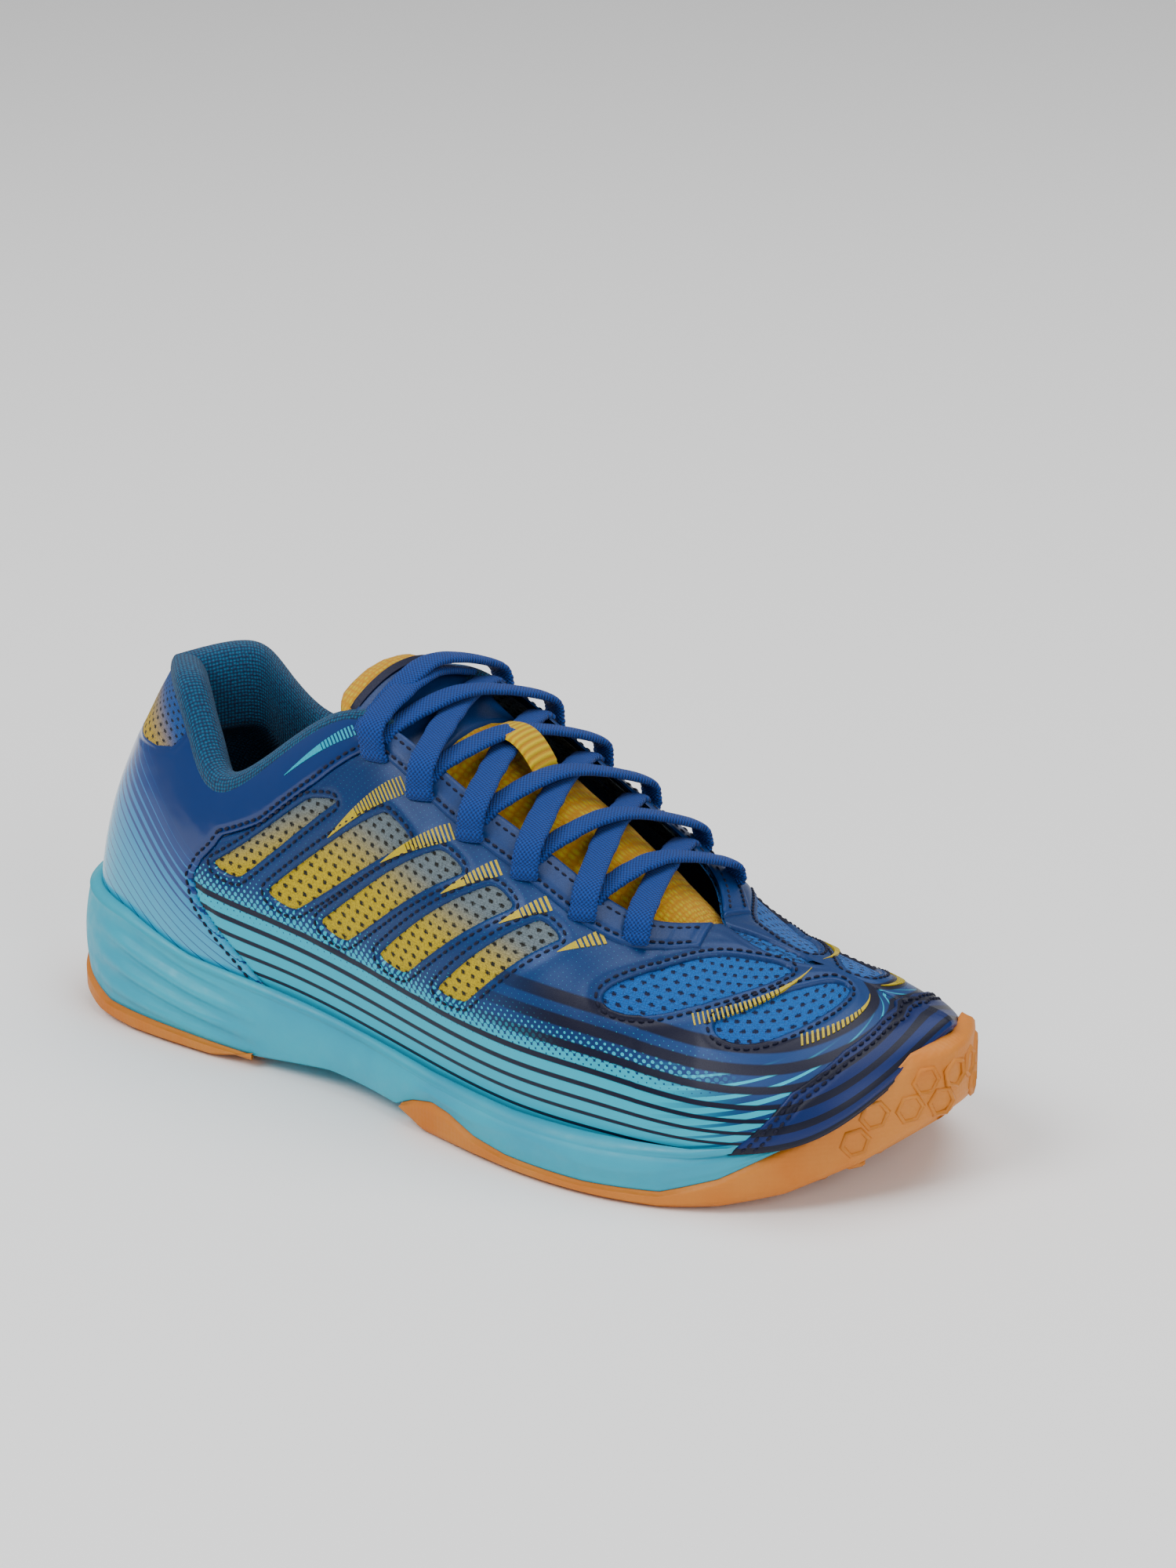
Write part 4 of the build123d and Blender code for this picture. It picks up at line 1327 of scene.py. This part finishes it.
FOOT = feather_fit()
foot_inset = np.linalg.norm(FOOT[:, :2] - SOLE_LINE, axis=1)
foam_rows = []
for k in range(25):
    share = k / 24
    z = foot_z + (rim_z - 1.0 - foot_z) * share
    belly = 0.7 - 0.9 * math.sin(math.pi * share) + 1.2 * share ** 2
    foam_rows.append((belly - flow_grooves(sole_x, z, foot_z, rim_z), z))
foam_rows += [(0.35 * foot_inset, rim_z - 0.1), (0.7 * foot_inset, rim_z + 0.7),
              (foot_inset - 0.3, rim_z + 1.7), (foot_inset + 0.8, rim_z + 1.2),
              (foot_inset + 2.5, rim_z - 3.0)]
midsole = wall_piece("midsole_wall", foam_keep, foam_rows, foam_finish,
                     lambda x: profile(FOAM_FOOT, x) + 0.3)
blend_ball(midsole)
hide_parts("midsole_rear", "midsole_front", "heel_cushion", "forefoot_cushion",
            "shank_plate")


def rubber_rows(top_z):
    """Rows of the rubber's wall, from the ground up and in under the foam."""
    edge = np.minimum(top_z, rim_z)
    rows = [(3.0, ground_z), (1.2, ground_z + 0.25), (0.4, ground_z + 1.0)]
    for k in range(1, 8):
        share = k / 8
        rows.append((-0.5 * np.ones(len(sole_x)), ground_z + 1.0 + (edge - ground_z - 1.6) * share))
    at_rim = np.clip((sole_x - 112) / 10, 0, 1)
    inner = 2.6 + (foot_inset - 2.6) * at_rim
    rows += [(-0.3, edge - 1.2), (0.4, edge - 0.3), (0.6 * inner, edge + 0.4 * at_rim),
             (inner, edge + 1.2 * at_rim), (inner + 1.0, edge - 0.4), (inner + 3.0, edge - 3.0)]
    return rows


HEEL_RUBBER_END = -62
FRONT_RUBBER_START = -6
outsole_heel = wall_piece("outsole_heel_pod", sole_x < HEEL_RUBBER_END, rubber_rows(foot_z),
                          rubber_finish, lambda x: profile(GROUND, x))
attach(outsole_heel, "rearfoot")
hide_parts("outsole_heel")
outsole_front = wall_piece("outsole_front_pod", sole_x > FRONT_RUBBER_START, rubber_rows(foot_z),
                           rubber_finish, lambda x: profile(GROUND, x))
blend_ball(outsole_front)
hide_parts("outsole_ball", "outsole_toe")


# ---------------------------------------------------------------- hexagon tread
def hexagon_tree():
    """Geometry nodes: raised hexagon rings standing on the rubber, turned to face outwards."""
    sizes = (("Radius", 0.0042), ("Bar", 0.0009))
    tree, start, placed = node_tree("hexagon_tread", "Places", sizes, "Tread")
    ring = tree.nodes.new("GeometryNodeCurvePrimitiveCircle")
    ring.inputs["Resolution"].default_value = 6
    section = tree.nodes.new("GeometryNodeCurvePrimitiveCircle")
    section.inputs["Resolution"].default_value = 4
    solid = tree.nodes.new("GeometryNodeCurveToMesh")
    facing = tree.nodes.new("FunctionNodeAlignEulerToVector")
    facing.axis = "Z"
    outward = tree.nodes.new("GeometryNodeInputNamedAttribute")
    outward.data_type = "FLOAT_VECTOR"
    outward.inputs["Name"].default_value = "outward"
    links = tree.links
    links.new(start.outputs["Radius"], ring.inputs["Radius"])
    links.new(start.outputs["Bar"], section.inputs["Radius"])
    links.new(ring.outputs[0], solid.inputs["Curve"])
    links.new(section.outputs[0], solid.inputs["Profile Curve"])
    links.new(outward.outputs["Attribute"], facing.inputs["Vector"])
    links.new(start.outputs["Places"], placed.inputs["Points"])
    links.new(facing.outputs[0], placed.inputs["Rotation"])
    links.new(solid.outputs[0], placed.inputs["Instance"])
    return tree


HEXAGON_TREE = hexagon_tree()


def hexagons(name, places, outwards, radius=3.9, bar=0.95):
    """Raised hexagon rings at places, each facing its own way out."""
    data = bpy.data.meshes.new(name + "_places")
    data.from_pydata([tuple(p) for p in np.array(places) * MM], [], [])
    layer = data.attributes.new("outward", "FLOAT_VECTOR", "POINT")
    layer.data.foreach_set("vector", np.array(outwards, np.float32).ravel())
    values = {"Radius": radius * MM, "Bar": bar * MM, "Finish": rubber_finish}
    return baked_nodes(linked(name + "_places", data), HEXAGON_TREE, values, name)


def toe_hexagons():
    """Places and outward directions round the toe."""
    places, outwards = [], []
    for row in range(3):
        for station in np.linspace(-34, 34, 9) + (4.2 if row % 2 else 0):
            height = 19.0 + row * 7.2
            toe = np.nonzero(sole_x > 100)[0]
            k = toe[np.abs(SOLE_LINE[toe, 1] - (station + 4)).argmin()]
            low, high = ground_z[k] + 5.0, rim_z[k] - 5.5
            if not low < height < high:
                continue
            out = -SOLE_IN[k]
            places.append([*(SOLE_LINE[k] + out * 0.3), height])
            outwards.append([out[0], out[1], 0.0])
    return places, outwards


def ground_hexagons(low_x, high_x):
    """Places and outward directions on the underside."""
    places, outwards = [], []
    for column, x in enumerate(np.arange(low_x, high_x, 8.6)):
        for y in np.arange(-50, 52, 10.0) + (5.0 if column % 2 else 0):
            inside = inside_distance(np.array([[x, y]]), SOLE_LINE[::6])[0]
            if inside > 7:
                places.append([x, y, float(profile(GROUND, x)) + 0.95])
                outwards.append([0.0, 0.0, -1.0])
    return places, outwards


for name, spots, body in (("toe_hexagons", toe_hexagons(), "forefoot"),
                          ("front_tread_hexagons", ground_hexagons(80, 128), "forefoot"),
                          ("ball_tread_hexagons", ground_hexagons(8, 62), None),
                          ("heel_tread_hexagons", ground_hexagons(-128, -84), "rearfoot")):
    piece = hexagons(name, *spots)
    if body is None:
        blend_ball(piece)
    else:
        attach(piece, body)

# ---------------------------------------------------------------- insole
def insole_sheet():
    """Footbed from the lateral to the medial foot of the upper, with its sides turned up."""
    stations, columns = 90, 14
    us = np.linspace(0, 1, stations)
    lateral, medial = (last_point(us, side, 0.02) for side in (LATERAL, MEDIAL))
    points = []
    for k in range(columns):
        share = 0.03 + 0.94 * k / (columns - 1)
        line = lateral * (1 - share) + medial * share
        line[:, 2] = profile(FOOTBED, line[:, 0]) + 5.6 + 2.5 * (2 * share - 1) ** 4
        points.append(line)
    return np.stack(points, 1).reshape(-1, 3), grid_faces(stations, columns)


points, faces = insole_sheet()
insole = make_piece("insole_pad", points, faces, insole_finish, points)
blend_ball(insole)
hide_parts("insole", "lasting_board")

# ---------------------------------------------------------------- stage
def backdrop():
    """Plain floor."""
    mesh = bpy.data.meshes.new("studio_floor")
    size = 6.0
    mesh.from_pydata([(-size, -size, 0), (size, -size, 0), (size, size, 0), (-size, size, 0)], [],
                     [(0, 1, 2, 3)])
    finish = Finish("floor_paper", (0.9, 0.9, 0.9), 0.6)
    mesh.materials.append(finish.material)
    linked("studio_floor", mesh)


def soft_light(name, place, aim, size, power):
    """Round area light at place, in metres, pointing at aim."""
    data = bpy.data.lights.new(name, "AREA")
    data.shape = "DISK"
    data.size = size
    data.energy = power
    lamp = linked(name, data)
    lamp.location = place
    lamp.rotation_euler = (Vector(aim) - Vector(place)).to_track_quat("-Z", "Y").to_euler()


CAMERA_ANGLES = (33.67, 20.82, -0.62)       # turn, rise and roll, in degrees
CAMERA_AIM = (-0.1081, 0.2067, 0.0)
CAMERA_DISTANCE = 1.5


def camera():
    """Fixed studio camera."""
    turn, rise, roll = (math.radians(a) for a in CAMERA_ANGLES)
    back = np.array([math.sin(turn) * math.cos(rise), -math.cos(turn) * math.cos(rise),
                     math.sin(rise)])
    right = np.array([math.cos(turn), math.sin(turn), 0.0])
    up = np.cross(back, right)
    turned_right = right * math.cos(roll) + up * math.sin(roll)
    turned_up = up * math.cos(roll) - right * math.sin(roll)
    place = np.array(CAMERA_AIM) + back * CAMERA_DISTANCE
    data = bpy.data.cameras.new("studio_camera")
    data.lens = 102.6
    data.sensor_width = 36
    eye = linked("studio_camera", data)
    eye.matrix_world = Matrix([(*pair, float(place[i])) for i, pair in enumerate(
        zip(turned_right, turned_up, back))] + [(0, 0, 0, 1)])
    bpy.context.scene.camera = eye


backdrop()
soft_light("key_softbox", (-0.6, -1.2, 1.6), (0, 0, 0.05), 1.2, 30)
soft_light("top_softbox", (0.2, 0.4, 1.8), (0, 0, 0.05), 1.6, 24)
soft_light("front_softbox", (1.6, -0.6, 0.9), (0, 0, 0.05), 1.2, 14)
camera()
world = bpy.data.worlds.new("studio_air")
world.use_nodes = True
world.node_tree.nodes["Background"].inputs[0].default_value = (1, 1, 1, 1)
world.node_tree.nodes["Background"].inputs[1].default_value = 0.42
bpy.context.scene.world = world
